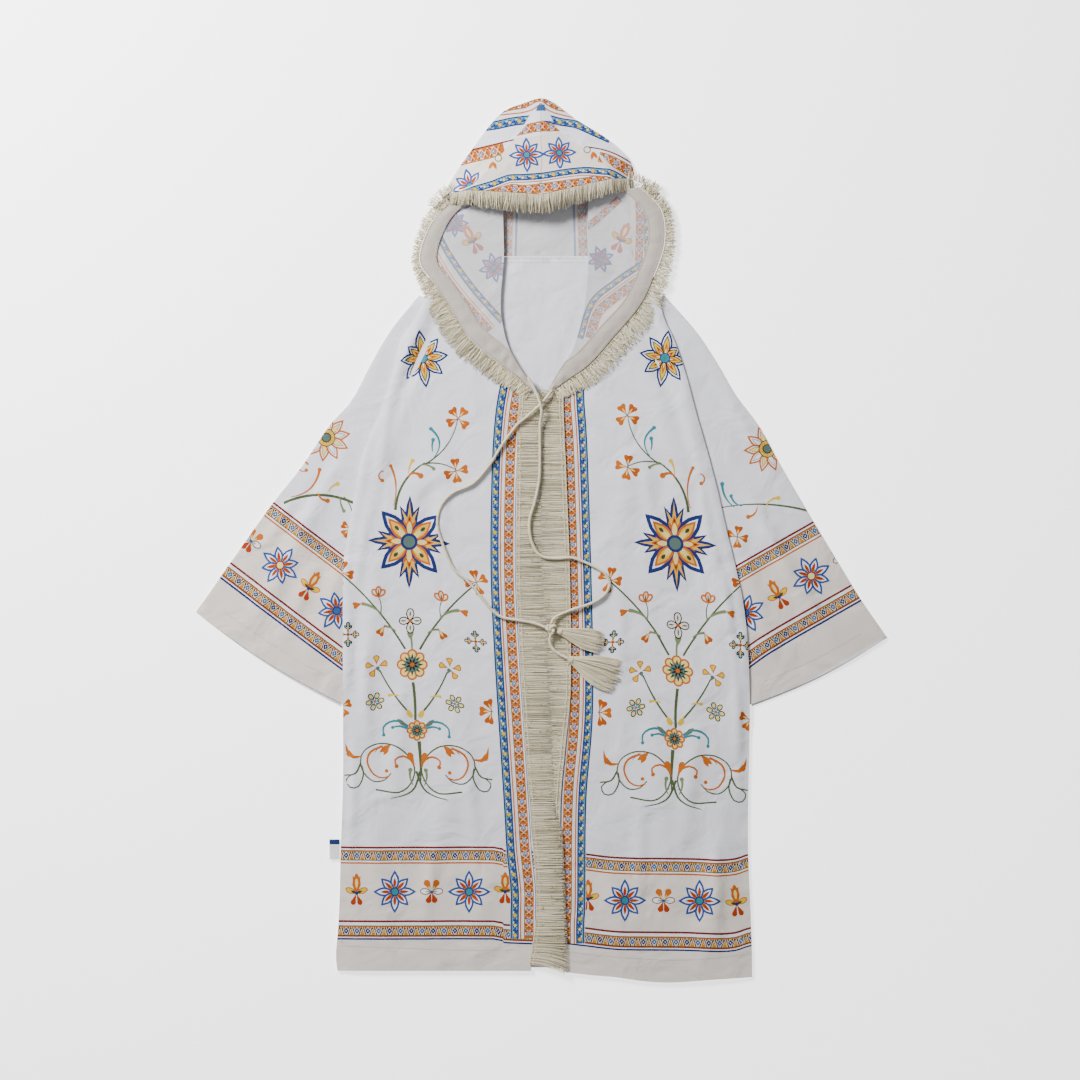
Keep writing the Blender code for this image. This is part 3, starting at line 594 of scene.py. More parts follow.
@dataclass
class Canvas:
    """The print of one panel: flat shapes in plan, each lying over the ones before it."""

    ground: Ink = Ink.WHITE
    veil: float = 0.0
    warp: Callable[[float, float], Point] | None = None
    shapes: list[tuple[list[Point], Ink]] = field(default_factory=list)

    def fill(self, points: Sequence[Point], ink: Ink) -> None:
        """Adds one closed shape."""
        kept = [self.warp(*p) for p in points] if self.warp else [tuple(p[:2]) for p in points]
        kept = [p for i, p in enumerate(kept) if math.dist(p, kept[i - 1]) > SAME_PLACE]
        self.shapes.append((kept, ink))

    def layers(self, points: Sequence[Point], *steps: tuple[float, Ink]) -> None:
        """Adds a shape and smaller ones inside it: each step is a depth and an ink."""
        for depth, ink in steps:
            self.fill(inset(points, depth) if depth else points, ink)

    def disc(self, centre: Point, radius: float, ink: Ink, count: int = 12) -> None:
        """Adds a round spot."""
        turns = (2 * math.pi * i / count for i in range(count))
        x, y = centre
        self.fill([(x + radius * math.cos(a), y + radius * math.sin(a)) for a in turns], ink)

    def line(self, points: Table, ink: Ink, width: float, end: float | None = None) -> None:
        """Adds a smooth stroke through points.

        Args:
            points: The middle of the stroke.
            ink: Its colour.
            width: Its width at the start.
            end: Its width at the end, where that differs.
        """
        path = smooth_line(points, STROKE_STEP) if len(points) > 2 else [tuple(p) for p in points]
        last = width if end is None else end
        left, right = [], []
        for i, (x, y) in enumerate(path):
            ahead = path[min(i + 1, len(path) - 1)]
            behind = path[max(i - 1, 0)]
            way = Vector((ahead[0] - behind[0], ahead[1] - behind[1])).normalized()
            half = (width + (last - width) * i / (len(path) - 1)) / 2
            left.append((x - way.y * half, y + way.x * half))
            right.append((x + way.y * half, y - way.x * half))
        self.fill(left + right[::-1], ink)

    def petal(
        self, base: Point, heading: float, size: Point, half: Table, *steps: tuple[float, Ink]
    ) -> None:
        """Adds one petal and the layers inside it.

        Args:
            base: Where it grows from.
            heading: The way that it points, in degrees from +X.
            size: Its length and its half width.
            half: One of the half outlines.
            steps: A depth and an ink for each layer.
        """
        cosine, sine = math.cos(math.radians(heading)), math.sin(math.radians(heading))
        sides = [(a, s) for a, s in half] + [(a, -s) for a, s in half[::-1] if s]
        points = []
        for along, side in sides:
            a, s = along * size[0], side * size[1]
            points.append((base[0] + a * cosine - s * sine, base[1] + a * sine + s * cosine))
        self.layers(points, *steps)

    def ring_of(
        self, centre: Point, headings: Sequence[float], start: float, size: Point, half: Table,
        *steps: tuple[float, Ink],
    ) -> None:
        """Adds alike petals round a centre, each starting a little way out."""
        for heading in headings:
            turn = math.radians(heading)
            base = (centre[0] + start * math.cos(turn), centre[1] + start * math.sin(turn))
            self.petal(base, heading, size, half, *steps)


@dataclass
class Guide:
    """A smooth line that a printed band follows; across is to the left of its way, or as given."""

    points: Table
    across: Point | None = None
    step: float = 6.0

    def __post_init__(self) -> None:
        """Measures the line once."""
        self.path = smooth_line(self.points, self.step)
        self.marks = [0.0]
        for a, b in zip(self.path, self.path[1:]):
            self.marks.append(self.marks[-1] + math.dist(a[:2], b[:2]))

    @property
    def length(self) -> float:
        """The line's length."""
        return self.marks[-1]

    def at(self, along: float, across: float) -> Point:
        """The point at a distance along the line and across it."""
        low, high = 0, len(self.marks) - 2
        while low < high:
            middle = (low + high + 1) // 2
            if self.marks[middle] <= along:
                low = middle
            else:
                high = middle - 1
        i = low
        a, b = self.path[i], self.path[i + 1]
        share = (along - self.marks[i]) / (self.marks[i + 1] - self.marks[i])
        way = Vector((b[0] - a[0], b[1] - a[1])).normalized()
        side_x, side_y = self.across or (-way.y, way.x)
        x = a[0] + (b[0] - a[0]) * share + side_x * across
        y = a[1] + (b[1] - a[1]) * share + side_y * across
        return x, y

    def strip(self, start: float, end: float, low: float, high: float) -> list[Point]:
        """The outline of a strip between two distances across the line."""
        inner = [m for m in self.marks if start + 0.5 < m < end - 0.5]
        stops = [start, *inner, end]
        return [self.at(s, low) for s in stops] + [self.at(s, high) for s in stops[::-1]]

    def cell(self, along: float, across: float, shape: Table) -> list[Point]:
        """A small shape of the repeat, carried to its place on the line."""
        x, y = self.at(along, across)
        (x1, y1), (x2, y2) = self.at(along - 0.5, across), self.at(along + 0.5, across)
        turn = math.atan2(y2 - y1, x2 - x1)
        cosine, sine = math.cos(turn), math.sin(turn)
        return [(x + dx * cosine - dy * sine, y + dx * sine + dy * cosine) for dx, dy in shape]


@dataclass
class Layer:
    """One flat net of points and triangles in plan, with an ink for each triangle."""

    points: list[Point]
    triangles: list[tuple[int, int, int]]
    inks: list[int]

    def rim(self) -> list[int]:
        """The points round its edge, in order, anticlockwise."""
        after: dict[int, int] = {}
        edges = {(t[i], t[(i + 1) % 3]) for t in self.triangles for i in range(3)}
        for a, b in edges:
            if (b, a) not in edges:
                if a in after:
                    raise ValueError("the outline touches itself at %s" % (self.points[a],))
                after[a] = b
        start = min(after)
        loop = [start]
        while after[loop[-1]] != start:
            loop.append(after[loop[-1]])
        if len(loop) != len(after):
            raise ValueError("the outline has %d loose edges" % (len(after) - len(loop)))
        return loop


def around(points: Sequence[Point], x: float, y: float) -> int:
    """How many times a closed line runs anticlockwise round a place."""
    turns = 0
    for (x1, y1), (x2, y2) in zip(points, [*points[1:], points[0]]):
        if (y1 <= y) != (y2 <= y):
            side = (x2 - x1) * (y - y1) - (x - x1) * (y2 - y1)
            if (side > 0) == (y2 > y1):
                turns += 1 if y2 > y1 else -1
    return turns


def ready(points: Sequence[Point]) -> list[Point]:
    """A shape anticlockwise, ending in an edge that has the shape's inside on its left.

    The triangulation finds a shape's inside from the start of its last edge. An inset shape can
    cross itself near a tip, and there the left of an edge is the outside.
    """
    ring = list(points) if signed_area(points) > 0 else list(points[::-1])
    for i, (x1, y1) in enumerate(ring):
        x2, y2 = ring[(i + 1) % len(ring)]
        dx, dy = x2 - x1, y2 - y1
        beside = ((x1 + s * dx - 0.001 * dy, y1 + s * dy + 0.001 * dx) for s in (0.003, 0.1, 0.9))
        if all(around(ring, x, y) == 1 for x, y in beside):
            return ring[i + 1 :] + ring[: i + 1]
    return ring


# Where the further points stand in their squares, off every printed line, and the merging distance
GRID_SHIFT = (0.3, 0.41)
MERGE = 1e-4


def net(
    outline: Sequence[Point], shapes: Sequence[tuple[Sequence[Point], Ink]], grid: float,
    lines: Sequence[Sequence[Point]] = (),
) -> Layer:
    """Cuts a panel into triangles along the edges of all that is printed on it.

    Args:
        outline: The panel's edge in plan.
        shapes: The print, lowest first.
        grid: The spacing of the further points that carry the cloth's relief.
        lines: Creases that triangles don't cross.

    Returns:
        The net. Ink 0 is the bare cloth, and ink n is the colour of shape n.
    """
    places: list[Vector] = []
    faces: list[list[int]] = []
    for points in [outline, *(shape for shape, _ in shapes)]:
        faces.append(list(range(len(places), len(places) + len(points))))
        places.extend(Vector(p) for p in ready(points))
    creases: list[tuple[int, int]] = []
    for line in lines:
        first = len(places)
        places.extend(Vector(p) for p in line)
        creases.extend((first + i, first + i + 1) for i in range(len(line) - 1))
    xs, ys = column(outline, 0), column(outline, 1)
    rows = int((max(ys) - min(ys)) / grid)
    columns = int((max(xs) - min(xs)) / grid)
    for r in range(rows + 1):
        for c in range(columns + 1):
            x = min(xs) + grid * (c + GRID_SHIFT[0] + 0.5 * (r % 2))
            places.append(Vector((x, min(ys) + grid * (r + GRID_SHIFT[1]))))
    points, _, triangles, _, _, owners = delaunay_2d_cdt(places, creases, faces, 1, MERGE, True)
    kept, inks = [], []
    for triangle, owner in zip(triangles, owners):
        if owner and 0 in owner:
            a, b, c = triangle
            turned = signed_area([points[a], points[b], points[c]]) < 0
            kept.append((a, c, b) if turned else (a, b, c))
            x = (points[a].x + points[b].x + points[c].x) / 3
            y = (points[a].y + points[b].y + points[c].y) / 3
            over = (n for n in sorted(owner)[:0:-1] if around(shapes[n - 1][0], x, y))
            inks.append(next(over, 0))
    used = sorted({i for triangle in kept for i in triangle})
    place = {i: n for n, i in enumerate(used)}
    kept = [(place[a], place[b], place[c]) for a, b, c in kept]
    return Layer([(points[i].x, points[i].y) for i in used], kept, inks)


def add_node(
    tree: bpy.types.NodeTree, kind: str, settings: dict[str, object], links: dict[str, object]
) -> bpy.types.Node:
    """Adds a shader node with its settings and links.

    Args:
        tree: The material's node tree.
        kind: The node's type.
        settings: Properties of the node and default values of its inputs.
        links: For each input, the output that feeds it.

    Returns:
        The new node.
    """
    node = tree.nodes.new(kind)
    for name, value in settings.items():
        if name in node.inputs:
            node.inputs[name].default_value = value
        else:
            setattr(node, name, value)
    for name, source in links.items():
        tree.links.new(source, node.inputs[int(name)] if name.isdigit() else node.inputs[name])
    return node


# In metres: the size of the dye's clouds and of the slubs in its threads
CLOUD_SIZE = 0.035
SLUB_SIZE = 0.0016


@dataclass(frozen=True)
class Finish:
    """A real material: how it was made, and what that gives the eye."""

    name: str
    roughness: float
    sheen: float = 0.0
    metallic: float = 0.0
    weave: float = 0.0
    weave_depth: float = 0.0
    rumple: float = 0.0
    rumple_depth: float = 0.0
    mottle: float = 0.0

    def material(self) -> bpy.types.Material:
        """The material, built the first time that it is asked for."""
        return bpy.data.materials.get(self.name) or self.build()

    def build(self) -> bpy.types.Material:
        """Builds the material from the piece's own colours, its weave and its soft rumples."""
        made = bpy.data.materials.new(self.name)
        made.use_nodes = True
        tree = made.node_tree
        shader = tree.nodes["Principled BSDF"]
        shader.inputs["Roughness"].default_value = self.roughness
        shader.inputs["Metallic"].default_value = self.metallic
        shader.inputs["Sheen Weight"].default_value = self.sheen
        shader.inputs["Sheen Roughness"].default_value = 0.5
        shader.inputs["Specular IOR Level"].default_value = 0.12 if not self.metallic else 0.5
        places = add_node(tree, "ShaderNodeTexCoord", {}, {}).outputs["Object"]
        paint = add_node(tree, "ShaderNodeVertexColor", {"layer_name": "print"}, {}).outputs["Color"]
        cloud = add_node(
            tree, "ShaderNodeTexNoise", {"Scale": 1 / CLOUD_SIZE, "Detail": 3.0}, {"Vector": places}
        ).outputs["Fac"]
        thread = add_node(
            tree, "ShaderNodeTexNoise", {"Scale": 1 / SLUB_SIZE, "Detail": 2.0}, {"Vector": places}
        ).outputs["Fac"]
        both = add_node(
            tree, "ShaderNodeMath", {"operation": "ADD"}, {"0": cloud, "1": thread}
        ).outputs[0]
        shade = add_node(
            tree, "ShaderNodeMapRange",
            {"From Min": 0.6, "From Max": 1.4, "To Min": 1 - self.mottle, "To Max": 1 + self.mottle},
            {"Value": both},
        ).outputs[0]
        dyed = add_node(
            tree, "ShaderNodeVectorMath", {"operation": "SCALE"}, {"0": paint, "Scale": shade}
        ).outputs[0]
        tree.links.new(dyed, shader.inputs["Base Color"])
        normal = None
        if self.rumple:
            soft = add_node(
                tree, "ShaderNodeTexNoise",
                {"Scale": 1 / self.rumple, "Detail": 3.0, "Roughness": 0.45, "Distortion": 0.6},
                {"Vector": places},
            ).outputs["Fac"]
            normal = add_node(
                tree, "ShaderNodeBump", {"Distance": self.rumple_depth, "Strength": 1.0},
                {"Height": soft},
            ).outputs["Normal"]
        if self.weave:
            rows = self.threads(tree, places)
            links = {"Height": rows, **({"Normal": normal} if normal else {})}
            normal = add_node(
                tree, "ShaderNodeBump", {"Distance": self.weave_depth, "Strength": 0.6}, links
            ).outputs["Normal"]
        if normal:
            tree.links.new(normal, shader.inputs["Normal"])
        return made

    def threads(self, tree: bpy.types.NodeTree, places: bpy.types.NodeSocket) -> bpy.types.NodeSocket:
        """Warp and weft: two sets of ridges across each other, at the weave's spacing."""
        waves = [
            add_node(
                tree, "ShaderNodeTexWave",
                {"bands_direction": axis, "Scale": 0.314 / self.weave, "Distortion": 0.6},
                {"Vector": places},
            ).outputs["Fac"]
            for axis in ("X", "Y")
        ]
        return add_node(
            tree, "ShaderNodeMath", {"operation": "MULTIPLY"}, {"0": waves[0], "1": waves[1]}
        ).outputs[0]


# Plain-woven cotton, screen printed: matt, with threads 0.9 mm apart, which is coarser than the
# real 0.4 mm so that they show, and soft rumples from washing
COTTON = Finish(
    "printed_cotton_plain_weave",
    roughness=0.88, sheen=0.06, weave=0.0009, weave_depth=0.00012,
    rumple=0.05, rumple_depth=0.0045, mottle=0.018,
)
# The same cotton's inner face: a little rougher and duller, because the dye lies on the other face
COTTON_BACK = Finish(
    "cotton_inner_face",
    roughness=0.92, sheen=0.1, weave=0.0009, weave_depth=0.00014,
    rumple=0.05, rumple_depth=0.005, mottle=0.025,
)
# Heavier unbleached cotton of the casing: a coarser plain weave with a slubby surface
CASING = Finish(
    "unbleached_cotton_casing",
    roughness=0.9, sheen=0.2, weave=0.0013, weave_depth=0.0002,
    rumple=0.02, rumple_depth=0.0016, mottle=0.05,
)
# Loosely twisted cotton and rayon yarn: soft sheen along each strand and uneven dye
YARN = Finish(
    "twisted_fringe_yarn",
    roughness=0.62, sheen=0.35, rumple=0.003,
    rumple_depth=0.0004, mottle=0.08,
)
# Metallised film thread: small bright glints among the yarn
GLITTER = Finish(
    "metallised_film_thread",
    roughness=0.24, metallic=1.0, rumple=0.002,
    rumple_depth=0.0003, mottle=0.05,
)
# Three-ply twisted cotton cord: matt plies with a slight fuzz
CORD = Finish(
    "three_ply_cotton_cord",
    roughness=0.72, sheen=0.3, rumple=0.0015,
    rumple_depth=0.0003, mottle=0.05,
)
# Spun polyester sewing thread: a faint shine on each stitch
THREAD = Finish(
    "spun_sewing_thread",
    roughness=0.5, sheen=0.1, rumple=0.001,
    rumple_depth=0.0001, mottle=0.03,
)
# Woven satin label tape: smooth floats with a soft gloss
SATIN = Finish(
    "woven_satin_label_tape",
    roughness=0.42, sheen=0.1, weave=0.0005, weave_depth=0.00006,
    rumple=0.012, rumple_depth=0.0005, mottle=0.01,
)


# Edges steeper than this angle, in degrees, stay crisp: on cloth, and on a crown, cord or strand
SOFT = 40
CRISP = 60


class Skin:
    """Points and faces of one piece, gathered in millimetres and made a mesh at the end."""

    def __init__(self) -> None:
        """Starts with nothing."""
        self.points: list[Place] = []
        self.faces: list[tuple[int, ...]] = []
        self.colours: list[tuple[float, ...]] = []
        self.slots: list[int] = []

    def add(self, face: tuple[int, ...], colour: tuple[float, ...], slot: int = 0) -> None:
        """Adds one face with its colour."""
        self.faces.append(face)
        self.colours.append(colour)
        self.slots.append(slot)

    def object(self, name: str, finishes: Sequence[Finish], sharp: float = SOFT) -> bpy.types.Object:
        """Makes the object.

        Args:
            name: The piece's name.
            finishes: The material of each slot.
            sharp: Edges steeper than this angle, in degrees, stay crisp.

        Returns:
            The new object, which rides on the root body.
        """
        mesh = bpy.data.meshes.new(name)
        mesh.from_pydata([(x * MM, y * MM, z * MM) for x, y, z in self.points], [], self.faces)
        colours = mesh.color_attributes.new(name="print", type="FLOAT_COLOR", domain="CORNER")
        flat: list[float] = []
        for face, colour in zip(self.faces, self.colours):
            flat.extend(colour * len(face))
        colours.data.foreach_set("color", flat)
        for finish in finishes:
            mesh.materials.append(finish.material())
        mesh.polygons.foreach_set("material_index", self.slots)
        mesh.shade_smooth()
        mesh.set_sharp_from_angle(angle=math.radians(sharp))
        obj = bpy.data.objects.new(name, mesh)
        bpy.context.scene.collection.objects.link(obj)
        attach(obj, "root")
        LOG.info("%s: %d faces", name, len(self.faces))
        return obj

    def tube(
        self, path: Sequence[Place], radii: Sequence[float], colour: tuple[float, ...],
        slot: int = 0, sides: int = 3, turn: float = 0.0,
    ) -> None:
        """Adds a closed thread round a line of points.

        Args:
            path: The thread's middle.
            radii: Its radius at each point.
            colour: Its colour.
            slot: Its material.
            sides: How many sides it has.
            turn: How far its sides are turned, in radians.
        """
        first = len(self.points)
        side = Vector((0.0, 0.0, 1.0))
        for i, place in enumerate(path):
            ahead, behind = path[min(i + 1, len(path) - 1)], path[max(i - 1, 0)]
            way = (Vector(ahead) - Vector(behind)).normalized()
            side = side - way * side.dot(way)
            side = side.normalized() if side.length > 1e-3 else way.orthogonal().normalized()
            other = way.cross(side)
            for k in range(sides):
                angle = turn + 2 * math.pi * k / sides
                out = (side * math.cos(angle) + other * math.sin(angle)) * radii[i]
                self.points.append((place[0] + out.x, place[1] + out.y, place[2] + out.z))
        for i in range(len(path) - 1):
            a, b = first + i * sides, first + (i + 1) * sides
            for k in range(sides):
                n = (k + 1) % sides
                self.add((a + k, a + n, b + n, b + k), colour, slot)
        last = first + (len(path) - 1) * sides
        self.add(tuple(first + k for k in reversed(range(sides))), colour, slot)
        self.add(tuple(last + k for k in range(sides)), colour, slot)


# One stitch: how far along its pitch, its height over the cloth and its share of the thickness
STITCH = ((0.08, -0.15, 0.35), (0.3, 0.2, 0.5), (0.6, 0.2, 0.5), (0.82, -0.15, 0.35))


def stitch(
    skin: Skin, line: Sequence[Point], height: Height, colour: tuple[float, ...],
    slot: int = 1, pitch: float = 3.4, thick: float = 0.42,
) -> None:
    """Sews a row of straight stitches along a line, each with its ends in the cloth.

    Args:
        skin: The piece that is sewn.
        line: The seam's way in plan.
        height: The cloth's upper face.
        colour: The thread's colour.
        slot: The thread's material slot.
        pitch: The distance from one stitch to the next.
        thick: The thread's thickness.
    """
    guide = Guide(tuple(line))
    for i in range(int(guide.length / pitch)):
        path = []
        for share, lift, _ in STITCH:
            x, y = guide.at((i + share) * pitch, 0.0)
            path.append((x, y, height(x, y) + lift))
        skin.tube(path, [thick * row[2] for row in STITCH], colour, slot, 4)


@dataclass
class Shell:
    """A sheet of cotton: a printed face, a plain face below it and the rim that joins them."""

    outline: Sequence[Point]
    canvas: Canvas
    low: Height
    high: Height
    grid: float = 6.0
    plain_grid: float = 16.0
    lines: Sequence[Sequence[Point]] = ()

    def shapes(self) -> list[tuple[list[Point], Ink]]:
        """The printed shapes that reach the panel."""
        found = []
        for points, ink in self.canvas.shapes:
            reach = all(
                min(column(points, i)) < max(column(self.outline, i))
                and max(column(points, i)) > min(column(self.outline, i))
                for i in (0, 1)
            )
            if reach:
                found.append((points, ink))
        return found

    def inks(self) -> list[tuple[float, float, float, float]]:
        """The linear colour of each ink number of the net, faded where cloth shows its back."""
        ground = linear(self.canvas.ground.value)
        found = [ground]
        for _, ink in self.shapes():
            full = linear(ink.value)
            found.append(tuple(a + (b - a) * self.canvas.veil for a, b in zip(full, ground)))
        return found

    def face(self, skin: Skin, layer: Layer, height: Height, inks: Sequence, down: bool) -> list[int]:
        """Adds one net at a height and returns the number of each of its points."""
        first = len(skin.points)
        skin.points.extend((x, y, height(x, y)) for x, y in layer.points)
        for (a, b, c), ink in zip(layer.triangles, layer.inks):
            order = (a, c, b) if down else (a, b, c)
            skin.add(tuple(first + i for i in order), inks[ink])
        return [first + i for i in range(len(layer.points))]

    def skin(self) -> Skin:
        """The closed sheet as a new skin."""
        skin = Skin()
        self.build(skin)
        return skin

    def build(self, skin: Skin) -> None:
        """Adds the closed sheet to a skin."""
        inks = self.inks()
        top = net(self.outline, self.shapes(), self.grid, self.lines)
        loop = top.rim()
        edge = [top.points[i] for i in loop]
        under = net(edge, [], self.plain_grid)
        ids = self.face(skin, top, self.high, inks, False)
        plain = linear(Ink.WHITE.value)
        low_ids = self.face(skin, under, self.low, [plain, plain], True)
        near = {(round(x, 3), round(y, 3)): i for i, (x, y) in zip(low_ids, under.points)}
        low_loop = [near[round(x, 3), round(y, 3)] for x, y in edge]
        for i in range(len(loop)):
            n = (i + 1) % len(loop)
            skin.add((low_loop[i], low_loop[n], ids[loop[n]], ids[loop[i]]), inks[0])


class Terrain:
    """The height of a curved sheet at any place in plan, read from a fine grid of its points."""

    def __init__(self, grid: Sequence[Sequence[Place]]) -> None:
        """Keeps the grid as a surface that can be looked down on."""
        columns = len(grid[0])
        points = [Vector(p) for row in grid for p in row]
        faces = []
        for r in range(len(grid) - 1):
            for c in range(columns - 1):
                i = r * columns + c
                faces.append((i, i + 1, i + columns + 1, i + columns))
        self.tree = BVHTree.FromPolygons(points, faces)

    def height(self, x: float, y: float) -> float:
        """The surface's height below a place, or at the nearest point beside it."""
        place, _, _, _ = self.tree.ray_cast(Vector((x, y, 100.0)), Vector((0.0, 0.0, -1.0)))
        if place is None:
            place, _, _, _ = self.tree.find_nearest(Vector((x, y, 10.0)))
        return place.z


class Line:
    """A line in plan that a place can be measured from."""

    def __init__(self, points: Sequence[Point]) -> None:
        """Keeps the line's stretches."""
        self.points = [Vector(p[:2]) for p in points]

    def distance(self, x: float, y: float, most: float = math.inf) -> float:
        """How far a place lies from the line, or the most asked for where that is less."""
        best = most
        place = Vector((x, y))
        for a, b in zip(self.points, self.points[1:]):
            if min(a.x, b.x) - best > x or max(a.x, b.x) + best < x:
                continue
            if min(a.y, b.y) - best > y or max(a.y, b.y) + best < y:
                continue
            way = b - a
            share = min(max((place - a).dot(way) / way.length_squared, 0.0), 1.0)
            best = min(best, (place - a - way * share).length)
        return best


class Side(Enum):
    """A side of the garment: its sign in x and the body's edges on it."""

    LEFT = (-1, 1, 2)
    RIGHT = (1, 4, 3)

    @property
    def sign(self) -> int:
        """-1 on the left and 1 on the right."""
        return self.value[0]

    @property
    def word(self) -> str:
        """The word that ends the nodes' names."""
        return self.name.lower()


def crown_height(row: Sequence[float], station: int, part: float) -> float:
    """How high the crown stands between an outer fold, a crease and the seam."""
    rise = row[-1]
    if station == 1:
        return rise * (CREASE_SHARE + (1 - CREASE_SHARE) * math.sin(0.5 * math.pi * part))
    if part == 0:
        return 0.0
    return rise * CREASE_SHARE * ease(FLANK_FIRST + FLANK_SPAN * part)


def crown_grid(side: Side, rows: int, cells: int) -> list[list[Place]]:
    """The underside of one half of the crown, from its outer fold to the seam.

    Args:
        side: Which half.
        rows: How many rows from the peak to the lip.
        cells: How many cells between two of its creases.

    Returns:
        Rows of points.
    """
    stations = ((0, 1), (2, 3), (4, 5)) if side is Side.LEFT else ((8, 9), (6, 7), (4, 5))
    grid = []
    for r in range(rows):
        row = row_at(CROWN, r / (rows - 1))
        points: list[Place] = []
        for station in (0, 1):
            x0, y0 = (row[i] for i in stations[station])
            x1, y1 = (row[i] for i in stations[station + 1])
            for cell in range(cells + station):
                part = cell / cells
                seam = side.sign * SEAM_GAP / 2 if station and cell == cells else 0.0
                z = ON_BACK + crown_height(row, station, part)
                points.append((x0 + (x1 - x0) * part + seam, y0 + (y1 - y0) * part, z))
        grid.append(points)
    return grid


def lip_line() -> list[Place]:
    """The crown's lip from its left fold to its right one, on the cloth's underside."""
    left = crown_grid(Side.LEFT, 2, 8)[-1]
    right = crown_grid(Side.RIGHT, 2, 8)[-1][::-1]
    return left + right[1:]


def hood_side_grid(table: Table, rows: int, columns: int, width: float, height: float) -> list[list[Place]]:
    """Rows of a hood side from its free edge inward.

    Args:
        table: The side's own table.
        rows: How many rows from the lip to the point of the V.
        columns: How many points in a row.
        width: The most that a row reaches inward.
        height: The underside's height where the side isn't lifted.

    Returns:
        Rows of points.
    """
    grid = []
    for r in range(rows):
        edge_x, edge_y, fold_x, fold_y, lift, _ = row_at(table, r / (rows - 1))
        share = min(width / math.dist((edge_x, edge_y), (fold_x, fold_y)), 1.0)
        row: list[Place] = []
        for c in range(columns):
            part = share * c / (columns - 1)
            x, y = edge_x + (fold_x - edge_x) * part, edge_y + (fold_y - edge_y) * part
            row.append((x, y, height + lift))
        grid.append(row)
    return grid


def border(grid: Sequence[Sequence[Place]]) -> list[Point]:
    """The closed edge of a grid in plan."""
    edge = [*grid[0], *(row[-1] for row in grid[1:]), *grid[-1][-2::-1]]
    edge += [row[0] for row in grid[-2:0:-1]]
    return [(p[0], p[1]) for p in edge]


def armhole_seam(side: Side, count: int) -> list[Point]:
    """The seam between body and sleeve, from the shoulder to the underarm."""
    step = (SHOULDER_SEAM_Y - UNDERARM_Y) / SEAM_SAMPLES
    heights = [SHOULDER_SEAM_Y - step * i for i in range(SEAM_SAMPLES + 1)]
    line = [(body_edge(y, side.value[1]), y) for y in heights]
    return [along_line(line, r / (count - 1)) for r in range(count)]


